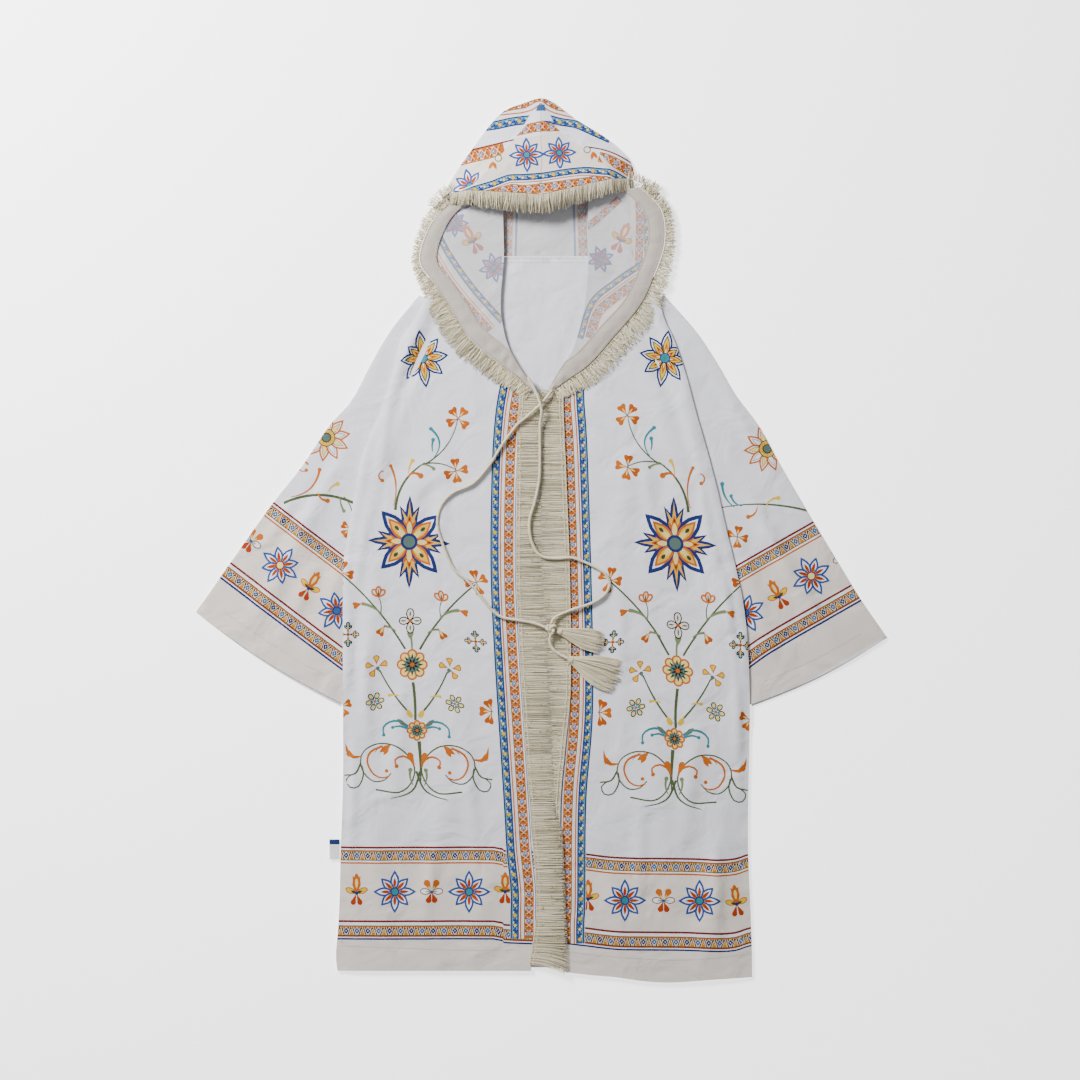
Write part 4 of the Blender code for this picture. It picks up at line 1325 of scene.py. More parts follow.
class Motifs:
    """Folk flowers, stars, buds and scrolls, each built by rule from a centre and a size."""

    def __init__(self, canvas: Canvas) -> None:
        """Draws on one canvas."""
        self.on = canvas

    def petals(self, centre: Point, head: float, *rows: tuple) -> None:
        """Adds petals that point one way: rows of a start, a size, a half outline and its layers."""
        for start, size, half, *steps in rows:
            self.on.ring_of(centre, [head], start, size, half, *steps)

    def eye(self, centre: Point, count: int, *rings: tuple[float, Ink]) -> None:
        """Adds round spots over each other, each given by its radius and ink."""
        for radius, ink in rings:
            self.on.disc(centre, radius, ink, count)

    def shoulder_star(self, centre: Point, turn: float, lengths: Sequence[float]) -> None:
        """A star of eight leaves with flame-coloured hearts round a teal eye."""
        heads = [turn + 45 * i for i in range(8)]
        for head, length in zip(heads, lengths):
            self.on.petal(centre, head, (length, 7.4), LEAF, (0, Ink.NAVY), (2.3, Ink.WHITE))
        self.on.ring_of(centre, [h + 22.5 for h in heads], 4, (10, 2.6), LEAF, (0, Ink.RED_ORANGE))
        for i, (head, length) in enumerate(zip(heads, lengths)):
            self.petals(
                centre, head,
                (0, (length * 0.8, 4.4), LEAF, (0, Ink.BLACK), (1.1, Ink.YELLOW)),
                (0, (length * 0.56, 2.0), LEAF, (0, Ink.RED_ORANGE if i % 2 else Ink.ORANGE)),
                (0, (length * 0.36, 0.9), LEAF, (0, Ink.CREAM)),
            )
        self.eye(centre, 20, (6.6, Ink.NAVY), (5.4, Ink.TEAL))

    def great_star(self, centre: Point) -> None:
        """The large star: four leaves on the diagonals and four crowned spears over them."""
        for head, length in ((89, 58), (178, 52), (-90, 59), (-3, 52)):
            self.petals(
                centre, head,
                (0, (length, 12.6), SPEAR, (0, Ink.NAVY), (3.4, Ink.GOLD_PALE)),
                (0, (length * 0.6, 8.2), SPEAR, (0, Ink.ORANGE)),
                (length * 0.44, (5, 1.1), LEAF, (0, Ink.DARK_RED)),
                (0, (length * 0.43, 3.4), ROUND, (0, Ink.PALE_YELLOW)),
            )
        for head, length in ((132, 52), (42, 50), (-48, 53), (-136, 49)):
            self.petals(
                centre, head,
                (0, (length, 11.4), LEAF, (0, Ink.NAVY), (4.6, Ink.WHITE)),
                (0, (length * 0.76, 8.0), LEAF, (0, Ink.ORANGE), (2.5, Ink.GOLD_PALE)),
                (0, (23, 3.2), ROUND, (0, Ink.PALE_YELLOW)),
                (19, (7.5, 2.2), ROUND, (0, Ink.DARK_OLIVE)),
            )
        self.eye(centre, 24, (10.6, Ink.NAVY), (7.3, Ink.GREY_TEAL))

    def hearts(self, centre: Point, heads: Sequence[float], size: float = 14.0) -> None:
        """A flower of heart-shaped petals with pale streaks."""
        for i, head in enumerate(heads):
            self.petals(
                centre, head,
                (0, (size, size * 0.38), HEART, (0, Ink.ORANGE if i % 2 else Ink.ORANGE_DEEP)),
                (3, (size * 0.5, 0.9), LEAF, (0, Ink.PALE_YELLOW)),
            )
        self.on.disc(centre, 1.4, Ink.TEAL, 8)

    def vine(
        self, start: Point, end: Point, bulge: float, width: float = 2.2,
        ink: Ink = Ink.OLIVE, last: float = 1.2,
    ) -> None:
        """A stem in one bow; bulge is how far its middle lies to the left of a straight line."""
        way = Vector((end[0] - start[0], end[1] - start[1]))
        side = Vector((-way.y, way.x)).normalized() * bulge
        points = []
        for i in range(11):
            t = i / 10
            lift = 4 * t * (1 - t)
            points.append((start[0] + way.x * t + side.x * lift, start[1] + way.y * t + side.y * lift))
        self.on.line(points, ink, width, last)

    def coil(
        self, centre: Point, start: float, sweep: float, first: float, last: float,
        ink: Ink, width: float, end: float, ball: float = 0.0, squash: float = 1.0,
    ) -> None:
        """A scroll whose radius changes evenly as it turns, with a ball at its end.

        Args:
            centre: The scroll's middle.
            start: Its first direction from the middle, in degrees.
            sweep: How far it turns, clockwise where below 0.
            first: Its first radius.
            last: Its last radius.
            ink: Its colour.
            width: Its width at the start.
            end: Its width at the end.
            ball: The radius of the ball at its end.
            squash: Its height over its width.
        """
        count = max(8, round(abs(sweep) / 14))
        points = []
        for i in range(count + 1):
            turn = math.radians(start + sweep * i / count)
            reach = first + (last - first) * i / count
            points.append(
                (centre[0] + reach * math.cos(turn), centre[1] + reach * math.sin(turn) * squash)
            )
        self.on.line(points, ink, width, end)
        if ball:
            self.on.disc(points[-1], ball, ink, 10)

    def comma(self, start: Point, end: Point, bulge: float, size: float, ink: Ink) -> None:
        """A bud on a stalk that swells towards its round end."""
        self.vine(start, end, bulge, 1.2, ink, size * 1.3)
        self.on.disc(end, size, ink, 12)

    def commas(self, *rows: tuple[Point, Point, float, float, Ink]) -> None:
        """Adds buds, each given by its start, end, bulge, size and ink."""
        for row in rows:
            self.comma(*row)

    def tulip(self, base: Point, head: float, size: float) -> None:
        """A small open flower: three rounded petals outlined in orange."""
        layers = ((0, Ink.ORANGE), (2.2, Ink.CREAM))
        for turn, long in ((-40, 0.9), (40, 0.9), (0, 1.0)):
            self.on.petal(base, head + turn, (size * long, size * 0.3), ROUND, *layers)
        self.on.petal(base, head, (size * 0.8, 0.8), LEAF, (0, Ink.DARK_OLIVE))

    def cross(self, centre: Point, size: float, notched: bool) -> None:
        """A cross flower in a dark outline, with plain or three-lobed arms."""
        half = TREFOIL if notched else ROUND
        streak = Ink.GOLD_PALE if notched else Ink.OLIVE
        for i, head in enumerate((90, 0, -90, 180)):
            upright = i % 2 == 0
            fill = Ink.PALE_TEAL if notched and upright else Ink.CREAM
            long = size * (1.06 if upright else 0.96)
            self.petals(
                centre, head,
                (0, (long, size * 0.36), half, (0, Ink.BLACK), (1.4, fill)),
                (size * 0.3, (size * 0.55, 1.0), LEAF, (0, streak)),
            )
        self.on.disc(centre, 2.4, Ink.ORANGE, 8)
        self.on.disc(centre, 1.0, Ink.DARK_RED, 6)

    def six(self, centre: Point, size: float, turn: float) -> None:
        """A little flower of six outlined petals."""
        heads = [turn + 60 * i for i in range(6)]
        layers = ((0, Ink.BLACK), (1.3, Ink.PALE_YELLOW))
        self.on.ring_of(centre, heads, 2, (size - 2, size * 0.29), ROUND, *layers)
        self.on.ring_of(centre, heads, 1, (size * 0.45, 1.0), LEAF, (0, Ink.TEAL))
        self.on.disc(centre, 1.9, Ink.ORANGE, 8)

    def daisy(self, centre: Point, size: float) -> None:
        """A round flower of eight cream petals with a starry dark heart."""
        between_petals = [22.5 + 45 * i for i in range(8)]
        heads = [h + 22.5 for h in between_petals]
        layers = ((0, Ink.ORANGE), (2.2, Ink.PALE_YELLOW))
        self.on.ring_of(centre, heads, size * 0.2, (size * 0.8, size * 0.34), ROUND, *layers)
        self.on.ring_of(centre, heads, 0, (size * 0.72, size * 0.09), LEAF, (0, Ink.DARK_OLIVE))
        self.on.ring_of(centre, between_petals, 0, (size * 0.6, size * 0.14), LEAF, (0, Ink.GREY_TEAL))
        self.on.disc(centre, size * 0.42, Ink.GREY_TEAL, 16)
        self.on.ring_of(centre, between_petals, 0, (size * 0.44, size * 0.06), LEAF, (0, Ink.BLACK))
        self.on.disc(centre, size * 0.15, Ink.ORANGE, 8)

    def drops(self, centre: Point, heads: Sequence[float], foot: float) -> None:
        """A yellow flower of four drops on a grey-teal foot."""
        turn = math.radians(foot)
        low = (centre[0] + 9 * math.cos(turn), centre[1] + 9 * math.sin(turn))
        self.on.petal(low, foot + 180, (9, 2.8), DROP, (0, Ink.GREY_TEAL))
        self.on.ring_of(centre, heads, 2, (12.5, 4.4), DROP, (0, Ink.ORANGE), (1.3, Ink.YELLOW))

    def band_star(self, centre: Point, size: float, turn: float, eye: Ink = Ink.TEAL) -> None:
        """The star of the bands: eight white leaves edged in blue, with red cores."""
        for i in range(8):
            length = size * (0.9 if i % 2 else 1.0)
            gold = (0, (size * 0.62, size * 0.085), LEAF, (0, Ink.GOLD))
            self.petals(
                centre, turn + 45 * i,
                (0, (length, size * 0.22), LEAF, (0, Ink.BLUE_DEEP), (2.5, Ink.WHITE)),
                *([gold] if i % 2 else []),
                (size * 0.16, (size * 0.5, size * 0.072), LEAF, (0, Ink.RED_ORANGE)),
            )
        rim = Ink.DARK_RED if eye is Ink.PALE_YELLOW else Ink.NAVY
        self.eye(centre, 14, (size * 0.21, rim), (size * 0.155, eye))

    def leaf_flower(self, centre: Point, turn: float) -> None:
        """A five-petalled flower of the bands: a crowned petal, two leaves and two drops."""
        self.on.petal(centre, turn + 90, (25, 5.4), FLAME, (0, Ink.ORANGE))
        self.on.ring_of(centre, [turn + 90], 6, (12, 2.0), ROUND, (0, Ink.PALE_YELLOW))
        for head in (turn + 158, turn + 22):
            self.on.petal(centre, head, (15, 4.0), ROUND, (0, Ink.ORANGE), (1.2, Ink.YELLOW))
            self.on.petal(centre, head, (8, 1.6), LEAF, (0, Ink.DARK_OLIVE))
        for head in (turn - 70, turn - 110):
            self.on.petal(centre, head, (16, 3.4), DROP, (0, Ink.RED_ORANGE))
        self.on.disc(centre, 2.4, Ink.NAVY, 8)

    def butterfly(self, centre: Point, turn: float) -> None:
        """A flower of the bands: two petals up, two down and an open loop on each side."""
        streak = (0, (9, 0.9), LEAF, (0, Ink.PALE_YELLOW))
        for head in (62, 118):
            self.petals(centre, turn + head, (0, (17, 4.25), DROP, (0, Ink.ORANGE)), streak)
        for head in (-70, -110):
            self.on.petal(centre, turn + head, (15, 3.75), DROP, (0, Ink.RED_ORANGE))
        layers = ((0, Ink.DARK_OLIVE), (0.7, Ink.ORANGE), (1.3, Ink.WHITE))
        for head in (4, 176):
            self.on.petal(centre, turn + head, (14.5, 4.4), ROUND, *layers)
            self.on.petal(centre, turn + head, (8, 1.0), LEAF, (0, Ink.PALE_TEAL))
        self.on.disc(centre, 2.0, Ink.BLUE_DEEP, 8)

    def sleeve_star(self, centre: Point, size: float, turn: float) -> None:
        """The star of the sleeves: ten leaves edged in orange round a rayed disc."""
        for i in range(10):
            core = Ink.PALE_YELLOW if i % 2 else Ink.WHITE
            self.petals(
                centre, turn + 36 * i,
                (0, (size, size * 0.215), LEAF, (0, Ink.ORANGE), (2.2, Ink.WHITE)),
                (0, (size * 0.8, size * 0.11), LEAF, (0, Ink.BLACK), (0.6, core)),
            )
        self.eye(centre, 20, (size * 0.37, Ink.BLACK), (size * 0.335, Ink.GOLD_PALE))
        for i in range(12):
            self.on.petal(centre, 30 * i, (size * 0.3, size * 0.03), LEAF, (0, Ink.GOLD))
        self.eye(centre, 14, (size * 0.2, Ink.BLACK), (size * 0.165, Ink.GREY_TEAL))


DIAMOND = ((-1, 0), (0, -1), (1, 0), (0, 1))
LEAF_SPOT = ((-1.0, 0.0), (-0.4, -0.8), (0.5, -0.7), (1.0, 0.0), (0.4, 0.8), (-0.5, 0.7))
SPARK = ((-1, 0), (-0.3, -0.3), (0, -1), (0.3, -0.3), (1, 0), (0.3, 0.3), (0, 1), (-0.3, 0.3))


@dataclass
class Band:
    """Printed bands that follow a guide; sense is 1 where across grows to the guide's left."""

    on: Canvas
    guide: Guide
    sense: int
    start: float = 0.0
    end: float | None = None

    def stop(self) -> float:
        """Where the band ends along its guide."""
        return self.guide.length if self.end is None else self.end

    def strip(self, low: float, high: float, ink: Ink) -> None:
        """Adds a plain strip between two distances across."""
        outline = self.guide.strip(self.start, self.stop(), low * self.sense, high * self.sense)
        self.on.fill(outline, ink)

    def strips(self, *rows: tuple[float, float, Ink]) -> None:
        """Adds plain strips, each given by its two distances across and its ink."""
        for row in rows:
            self.strip(*row)

    def spot(self, along: float, across: float, shape: Table, size: Point, ink: Ink) -> None:
        """Adds a small shape at a place of the repeat."""
        if self.start + 0.5 < along - size[0] and along + size[0] < self.stop() - 0.5:
            scaled = [(dx * size[0], dy * size[1] * self.sense) for dx, dy in shape]
            self.on.fill(self.guide.cell(along, across * self.sense, scaled), ink)

    def bar(self, a: float, b: float, first: float, last: float, width: float, ink: Ink) -> None:
        """Adds a straight stroke across the band from (a, first) to (b, last)."""
        if self.start + 0.5 < a and b < self.stop() - 0.5:
            self.on.line(
                [self.guide.at(a, first * self.sense), self.guide.at(b, last * self.sense)], ink, width
            )

    def repeats(self, length: float) -> list[tuple[int, float]]:
        """The number and the middle of each repeat of a given length."""
        count = int((self.stop() - self.start) / length) + 1
        return [(i, self.start + length * (i + 0.5)) for i in range(count)]

    def blue(self, low: float, high: float) -> None:
        """The blue border: a braid round yellow stars, between a sky line and navy edges."""
        middle = (low + high) / 2 + 0.4
        self.strip(low, high, Ink.NAVY)
        self.strip(low + 1.8, high - 1.4, Ink.PALE_TEAL)
        self.strip(low + 2.7, high - 1.4, Ink.BLUE)
        repeat = 12.6
        for i, at in self.repeats(repeat):
            self.bar(at, at + repeat / 2, low + 2.7, high - 1.6, 1.0, Ink.NAVY)
            self.bar(at + repeat / 2, at + repeat, high - 1.6, low + 2.7, 1.0, Ink.NAVY)
            self.bar(at - 1.6, at + repeat / 2 - 1.6, high - 1.9, low + 2.9, 0.8, Ink.SKY)
            self.spot(at + repeat * 0.3, high - 2.8, LEAF_SPOT, (2.2, 1.0), Ink.SKY)
            self.spot(at + repeat * 0.72, low + 3.9, LEAF_SPOT, (2.0, 0.8), Ink.WHITE)
            self.spot(at + repeat * 0.5, middle, DIAMOND, (1.2, 1.2), Ink.BLACK)
            size = 2.9 if i % 2 else 2.2
            self.spot(at, middle, DIAMOND, (size + 0.7, size + 0.5), Ink.DARK_OLIVE)
            self.spot(at, middle, DIAMOND, (size, size), Ink.YELLOW if i % 2 else Ink.PALE_YELLOW)

    def mosaic(self, low: float, high: float) -> None:
        """The orange border: blue flowers, cream leaves and dark specks in brown orange."""
        middle, wide = (low + high) / 2, high - low
        self.strip(low, high, Ink.DARK_OLIVE)
        self.strip(low + 0.7, high, Ink.ORANGE)
        self.strip(low + 1.5, high - 1.4, Ink.RUST)
        repeat = 16.4
        for _, at in self.repeats(repeat):
            for a, b in ((at - repeat / 2, at), (at, at + repeat / 2)):
                self.bar(a, b, low + 1.0, high - 1.0, 1.7, Ink.ORANGE)
                self.bar(a, b, high - 1.0, low + 1.0, 1.7, Ink.ORANGE)
                self.bar(a + 1.6, b + 1.6, low + 1.2, high - 1.2, 0.6, Ink.CREAM)
                self.bar(a + 1.6, b + 1.6, high - 1.2, low + 1.2, 0.6, Ink.CREAM)
            for off in (-0.28, 0.28):
                self.spot(at + repeat * 0.34, middle + wide * off, DIAMOND, (1.2, 1.0), Ink.BLACK)
                self.spot(at - repeat * 0.34, middle + wide * off, DIAMOND, (1.1, 1.0), Ink.DARK_RED)
                self.spot(at + repeat / 2, middle + wide * off, LEAF_SPOT, (2.4, 1.2), Ink.GOLD)
                self.spot(at, middle + wide * off * 1.2, LEAF_SPOT, (2.0, 0.9), Ink.CREAM)
                self.spot(at - 2.6, middle + wide * off, DIAMOND, (1.0, 1.1), Ink.DARK_OLIVE)
            self.spot(at + repeat / 2, middle, DIAMOND, (2.0, 1.6), Ink.RED_ORANGE)
            self.spot(at, middle, SPARK, (3.5, 3.4), Ink.NAVY)
            for dx, dy in ((-1, -1), (1, -1), (-1, 1), (1, 1)):
                self.spot(at + 1.4 * dx, middle + 1.4 * dy, DIAMOND, (1.4, 1.4), Ink.SKY)
            self.spot(at, middle, DIAMOND, (0.9, 0.9), Ink.WHITE)

    def hem_mosaic(self, low: float, high: float) -> None:
        """The hem border: blue flowers between zigzag strokes of black and cream on gold."""
        middle = (low + high) / 2
        self.strip(low, high, Ink.DARK_OLIVE)
        self.strip(low + 0.9, high - 1.0, Ink.ORANGE)
        self.strip(low + 2.0, high - 1.0, Ink.GOLD)
        repeat = 13.6
        for i, at in self.repeats(repeat):
            for side in (-1, 1):
                foot, head = at + side * 5.6, at + side * 2.4
                strokes = ((-2.6, Ink.BLACK), (-1.4, Ink.CREAM), (-0.1, Ink.BLACK), (1.2, Ink.CREAM))
                for shift, ink in strokes:
                    a, b = sorted((foot + side * shift, head + side * shift))
                    ends = (high - 1.2, low + 2.2) if side > 0 else (low + 2.2, high - 1.2)
                    self.bar(a, b, *ends, 1.3 if ink is Ink.BLACK else 0.7, ink)
            self.spot(at, middle + 0.3, DIAMOND, (4.0, 5.0), Ink.CREAM)
            dark = Ink.NAVY if i % 2 else Ink.BLUE
            for dx, dy in ((-1.7, 0), (1.7, 0), (0, -2.1), (0, 2.1)):
                self.spot(at + dx, middle + 0.3 + dy, DIAMOND, (1.7, 2.0), dark)
            self.spot(at, middle + 0.3, DIAMOND, (0.8, 0.8), Ink.WHITE)
            between = at + repeat / 2
            self.spot(between, middle + 2.2, DIAMOND, (2.3, 2.8), Ink.ORANGE)
            self.spot(between, middle + 2.2, DIAMOND, (1.0, 1.4), Ink.YELLOW)
            self.spot(between, middle - 2.6, DIAMOND, (1.2, 1.5), Ink.BLACK)

    def opening(self) -> None:
        """The border beside the front opening, from its blue edge inward."""
        self.strip(-1.0, 31.0, Ink.WHITE)
        self.blue(-0.6, 10.0)
        self.strips((11.2, 12.9, Ink.ORANGE), (13.2, 15.4, Ink.CREAM))
        self.mosaic(16.4, 28.4)
        self.strip(30.0, 31.0, Ink.BLUE_DEEP)

    def hem(self, last: float) -> None:
        """The cream border of a hem or cuff, from its upper red line down."""
        self.strips((0.0, last, Ink.CREAM), (-0.2, 4.4, Ink.WHITE), (0.0, 2.6, Ink.DARK_RED))
        self.hem_mosaic(4.6, 17.6)
        self.strips((17.6, 22.0, Ink.WHITE), (19.6, 21.8, Ink.ORANGE))
        self.strips((92.4, 98.6, Ink.WHITE), (92.2, 94.8, Ink.DARK_RED))
        self.hem_mosaic(98.6, 111.6)
        self.strips((111.6, 113.0, Ink.RED_ORANGE), (113.0, 116.5, Ink.WHITE), (114.4, 117.0, Ink.NAVY))


def band(on: Canvas, sense: int, *points: Point) -> Band:
    """A band along the points, which lie on its first edge."""
    return Band(on, Guide(points), sense)


# Creases placed as shown: soft ridges above 0 and troughs below
BACK_CREASES = (
    # x, y, heading in degrees, half_length, half_width, rise
    (3, 262.5, 88, 90, 2.2, -0.4),
    (-24.5, 300, 70, 40, 8, -0.3),
    (25.5, 237.5, 110, 34, 6, -0.3),
)
# How much deeper than its table says a crease of the fronts and sleeves is
CREASE_GAIN = 2.6
FRONT_CREASES = (
    # x, y, heading in degrees, half_length, half_width, rise
    (-159.5, 252.5, 66, 55, 5, 1.3),
    (-147, 237.5, 66, 60, 6, -0.9),
    (-179.5, 210, 74, 52, 6, 1.2),
    (-197, 135, 80, 70, 8, 1.5),
    (-212, 75, 78, 50, 6, -0.8),
    (-224.5, 0, 82, 80, 7, 1.4),
    (-127, 25, 84, 60, 9, 0.8),
    (-219.5, -187.5, 92, 60, 7, 1.1),
    (-179.5, -250, 84, 80, 10, 1.0),
    (-237, -325, 88, 70, 6, 1.4),
    (-89.5, -312.5, 96, 70, 8, 1.0),
    (-139.5, -425, 82, 45, 9, 1.0),
    (163, 235, 112, 60, 6, 1.4),
    (148, 210, 110, 50, 7, -0.8),
    (190.5, 125, 106, 60, 7, 1.5),
    (205.5, 25, 100, 60, 6, 1.2),
    (135.5, 50, 98, 60, 9, 0.9),
    (233, -87.5, 98, 60, 7, 1.5),
    (98, -125, 92, 70, 9, 0.9),
    (245.5, -225, 92, 80, 7, 1.4),
    (185.5, -300, 84, 80, 11, 1.2),
    (123, -387.5, 88, 60, 9, 1.0),
    (218, -425, 92, 50, 7, 1.3),
)
SLEEVE_CREASES = (
    # x, y, heading in degrees, half_length, half_width, rise
    (-264.5, 150, 52, 60, 7, 1.2),
    (-302, 125, 48, 60, 8, 1.4),
    (-349.5, 87.5, 46, 50, 7, 1.3),
    (-279.5, 50, 60, 60, 8, 1.3),
    (-327, 25, 56, 45, 7, 1.1),
    (-252, -50, 70, 50, 7, 1.4),
    (-302, -75, 66, 40, 6, 1.0),
    (-227, 237.5, 58, 45, 6, 1.1),
    (258, 137.5, 122, 60, 8, 1.4),
    (310.5, 87.5, 128, 60, 7, 1.3),
    (288, 0, 118, 60, 8, 1.2),
    (348, 0, 126, 50, 7, 1.3),
    (250.5, -25, 112, 50, 7, 1.3),
    (223, 225, 120, 45, 6, 1.1),
)
HOOD_BACK_CREASES = (
    # x, y, heading in degrees, half_length, half_width, rise
    (1.7, 381.2, 90, 60, 1.2, -0.5),
    (-17, 385, 84, 26, 5, -0.3),
    (20.5, 375, 98, 24, 5, -0.3),
)
CROWN_CREASES = (
    # x, y, heading in degrees, half_length, half_width, rise
    (-27, 487.5, 62, 22, 3, 0.5),
    (-89.5, 460, 50, 20, 4, 0.7),
    (23, 500, 112, 24, 4, 0.5),
    (88, 465, 130, 20, 4, 0.7),
    (-52, 460, 30, 18, 3, 0.5),
    (54.2, 465, 150, 18, 3, 0.5),
)

# The outer edge of the printed border beside the opening, and the upper line of the hem's border
BORDERS = {
    Side.LEFT: (
        *((-49.5, 203.8), (-57.5, 156.2), (-62, 85), (-63.3, -37.5), (-58.3, -150), (-47, -325)),
        *((-43.3, -387.5), (-38.3, -436.2), (-38.3, -465), (-38.3, -497.5)),
    ),
    Side.RIGHT: (
        *((53, 200), (53, 175), (58, 85), (64.2, -187.5), (55.5, -325), (54.2, -450)),
        *((53, -477.5), (53, -503.8)),
    ),
}
HEMS = {
    Side.LEFT: ((-264.5, -382.5), (-177, -382.5), (-59.5, -382.5), (-47, -386.8), (-2, -388.8)),
    Side.RIGHT: (
        *((25.5, -387.5), (56.7, -391.2), (98, -395.5), (173, -396.5), (233, -397.8)),
        *((256.8, -392.1), (270.5, -388.8)),
    ),
}
CUFFS = {
    Side.LEFT: (
        *((-439.5, 127.5), (-412.9, 107.6), (-333.4, 47), (-247.9, -18.1), (-202, -52.5)),
        (-139.5, -98.8),
    ),
    Side.RIGHT: (
        *((148, -101.2), (205.5, -56.2), (243, -31.2), (339.2, 23.8), (418, 68.8), (448, 87.5)),
    ),
}

# Where the right front's print stands off an exact mirror image of the left one's
MIRROR = (
    # y, push in x, drop
    (226, 4, 1),
    (151, 1.2, 1),
    (92, -1.2, 0.8),
    (-5, 0, 2.5),
    (-50, 2, 3.7),
    (-106, 5, 5.4),
    (-130, 5, 7.5),
    (-165, 7.5, 7.5),
    (-212, 8, 9.1),
    (-250, 9.4, 11),
    (-325, 10, 11.2),
)


# The sum of a place's x and its mirror image's, and how the right print tilts round its own middle
MIRROR_SUM = 1.5
MIRROR_TILT = 0.085
MIRROR_PIVOT = 167
# Twice the x of the tree's trunk at y = 0, how it leans, and the tilt of its right half
TREE_SUM = -334.8
TREE_LEAN = -0.0925
TREE_TILT = 0.03
TREE_TILT_ABOVE = 0.04


def mirrored(x: float, y: float) -> Point:
    """Carries a place of the left front's flowers to the right front."""
    there = -x + MIRROR_SUM + between(MIRROR, y, 1)
    return there, y - between(MIRROR, y, 2) - MIRROR_TILT * (there - MIRROR_PIVOT)


def flipped(x: float, y: float) -> Point:
    """Carries a place on the left of the tree to its right; the tree leans a little."""
    across = TREE_SUM + TREE_LEAN * y - x
    tilt = TREE_TILT + TREE_TILT_ABOVE * min(max((y + 150) / 50, 0), 1)
    return across, y - (across - x) * tilt


def upper_garden(m: Motifs) -> None:
    """The shoulder star, the two heart flowers on their vine and the great star."""
    m.shoulder_star((-148.5, 226.9), 97, (36, 24, 28.6, 33.7, 37.6, 32.5, 32.6, 32))
    m.vine((-182.6, 37.5), (-145.8, 96.2), 9, 3.8, Ink.OLIVE, 1.8)
    m.vine((-147, 93.8), (-104.5, 152.5), -9, 2.0)
    m.vine((-147, 95), (-107, 87.5), 4, 2.0)
    m.commas(
        ((-134.5, 102.5), (-138.3, 138.8), -9, 2.6, Ink.TEAL),
        ((-135.8, 110), (-135.4, 125), 1, 2.6, Ink.TEAL),
        ((-165.8, 82.5), (-160.8, 98.8), 1.5, 2.8, Ink.YELLOW),
        ((-153.3, 92.5), (-134.5, 88.8), 3, 2.3, Ink.SAGE),
        ((-167, 78.8), (-150.8, 80), 4, 3.6, Ink.ORANGE),
    )
    m.vine((-185.1, 42.5), (-188.3, 92.5), -5, 1.0, Ink.ORANGE, 3.2)
    m.on.disc((-188.3, 92.5), 2.3, Ink.ORANGE)
    m.coil((-197, 80), 88, 165, 6.0, 6.0, Ink.ORANGE, 1.4, 2.4, 2.6)
    m.hearts((-104.1, 151.5), (125, 52, 205, -42), 15.5)
    m.hearts((-107, 86.5), (95, 8, 205, -82), 15.5)
    m.great_star((-165.3, -2.1))


def tree_half(m: Motifs) -> None:
    """The left half of the tree of small flowers; the right half is the same, flipped."""
    m.vine((-248.3, -43.8), (-170.1, -136.2), 5, 1.9, Ink.OLIVE, 2.6)
    m.vine((-200.8, -91.2), (-203.9, -70), -2, 1.5)
    m.vine((-199.5, -92.5), (-224.5, -79.4), -2.5, 1.6, Ink.SAGE, 4.6)
    m.vine((-182, -113.8), (-197, -107.5), -1.5, 1.4, Ink.SAGE, 3.2)
    m.vine((-202, -162.5), (-160.8, -220), -3, 1.8, Ink.OLIVE, 2.6)
    m.comma((-177, -195), (-190.1, -193.8), -1, 2.2, Ink.YELLOW)
    m.hearts((-249.5, -41.2), (80, 150, -10, -105), 15.5)
    m.tulip((-203.8, -71.2), 88, 14)
    m.on.petal((-222.6, -78.8), 196, (13.5, 4.4), HEART, (0, Ink.ORANGE))
    m.on.petal((-195.1, -106.2), 236, (15, 5.4), HEART, (0, Ink.ORANGE_DEEP))
    m.on.petal((-197, -108.8), 240, (9, 1.4), LEAF, (0, Ink.PALE_YELLOW))
    m.cross((-241.5, -117.9), 15, True)
    m.drops((-205.8, -157.9), (92, 172, 20, 240), -60)
    m.six((-207.9, -201.6), 12, 12)
    m.on.petal((-161.4, -222.5), 122, (13, 3.4), LEAF, (0, Ink.YELLOW))
    for points, width, end in (
        (((-166.4, -233.1), (-177.4, -226), (-189.5, -227), (-197.4, -233.8), (-197, -243.3)), 3.6, 2.2),
        (((-166.4, -235.6), (-177.4, -232.1), (-185.8, -233.9)), 3.2, 2.0),
    ):
        m.on.line(points, Ink.TEAL, width, end)
        m.on.disc(points[-1], 2.2, Ink.TEAL)
    m.on.petal((-168.9, -232.5), 140, (15, 2.8), LEAF, (0, Ink.GREY_TEAL))


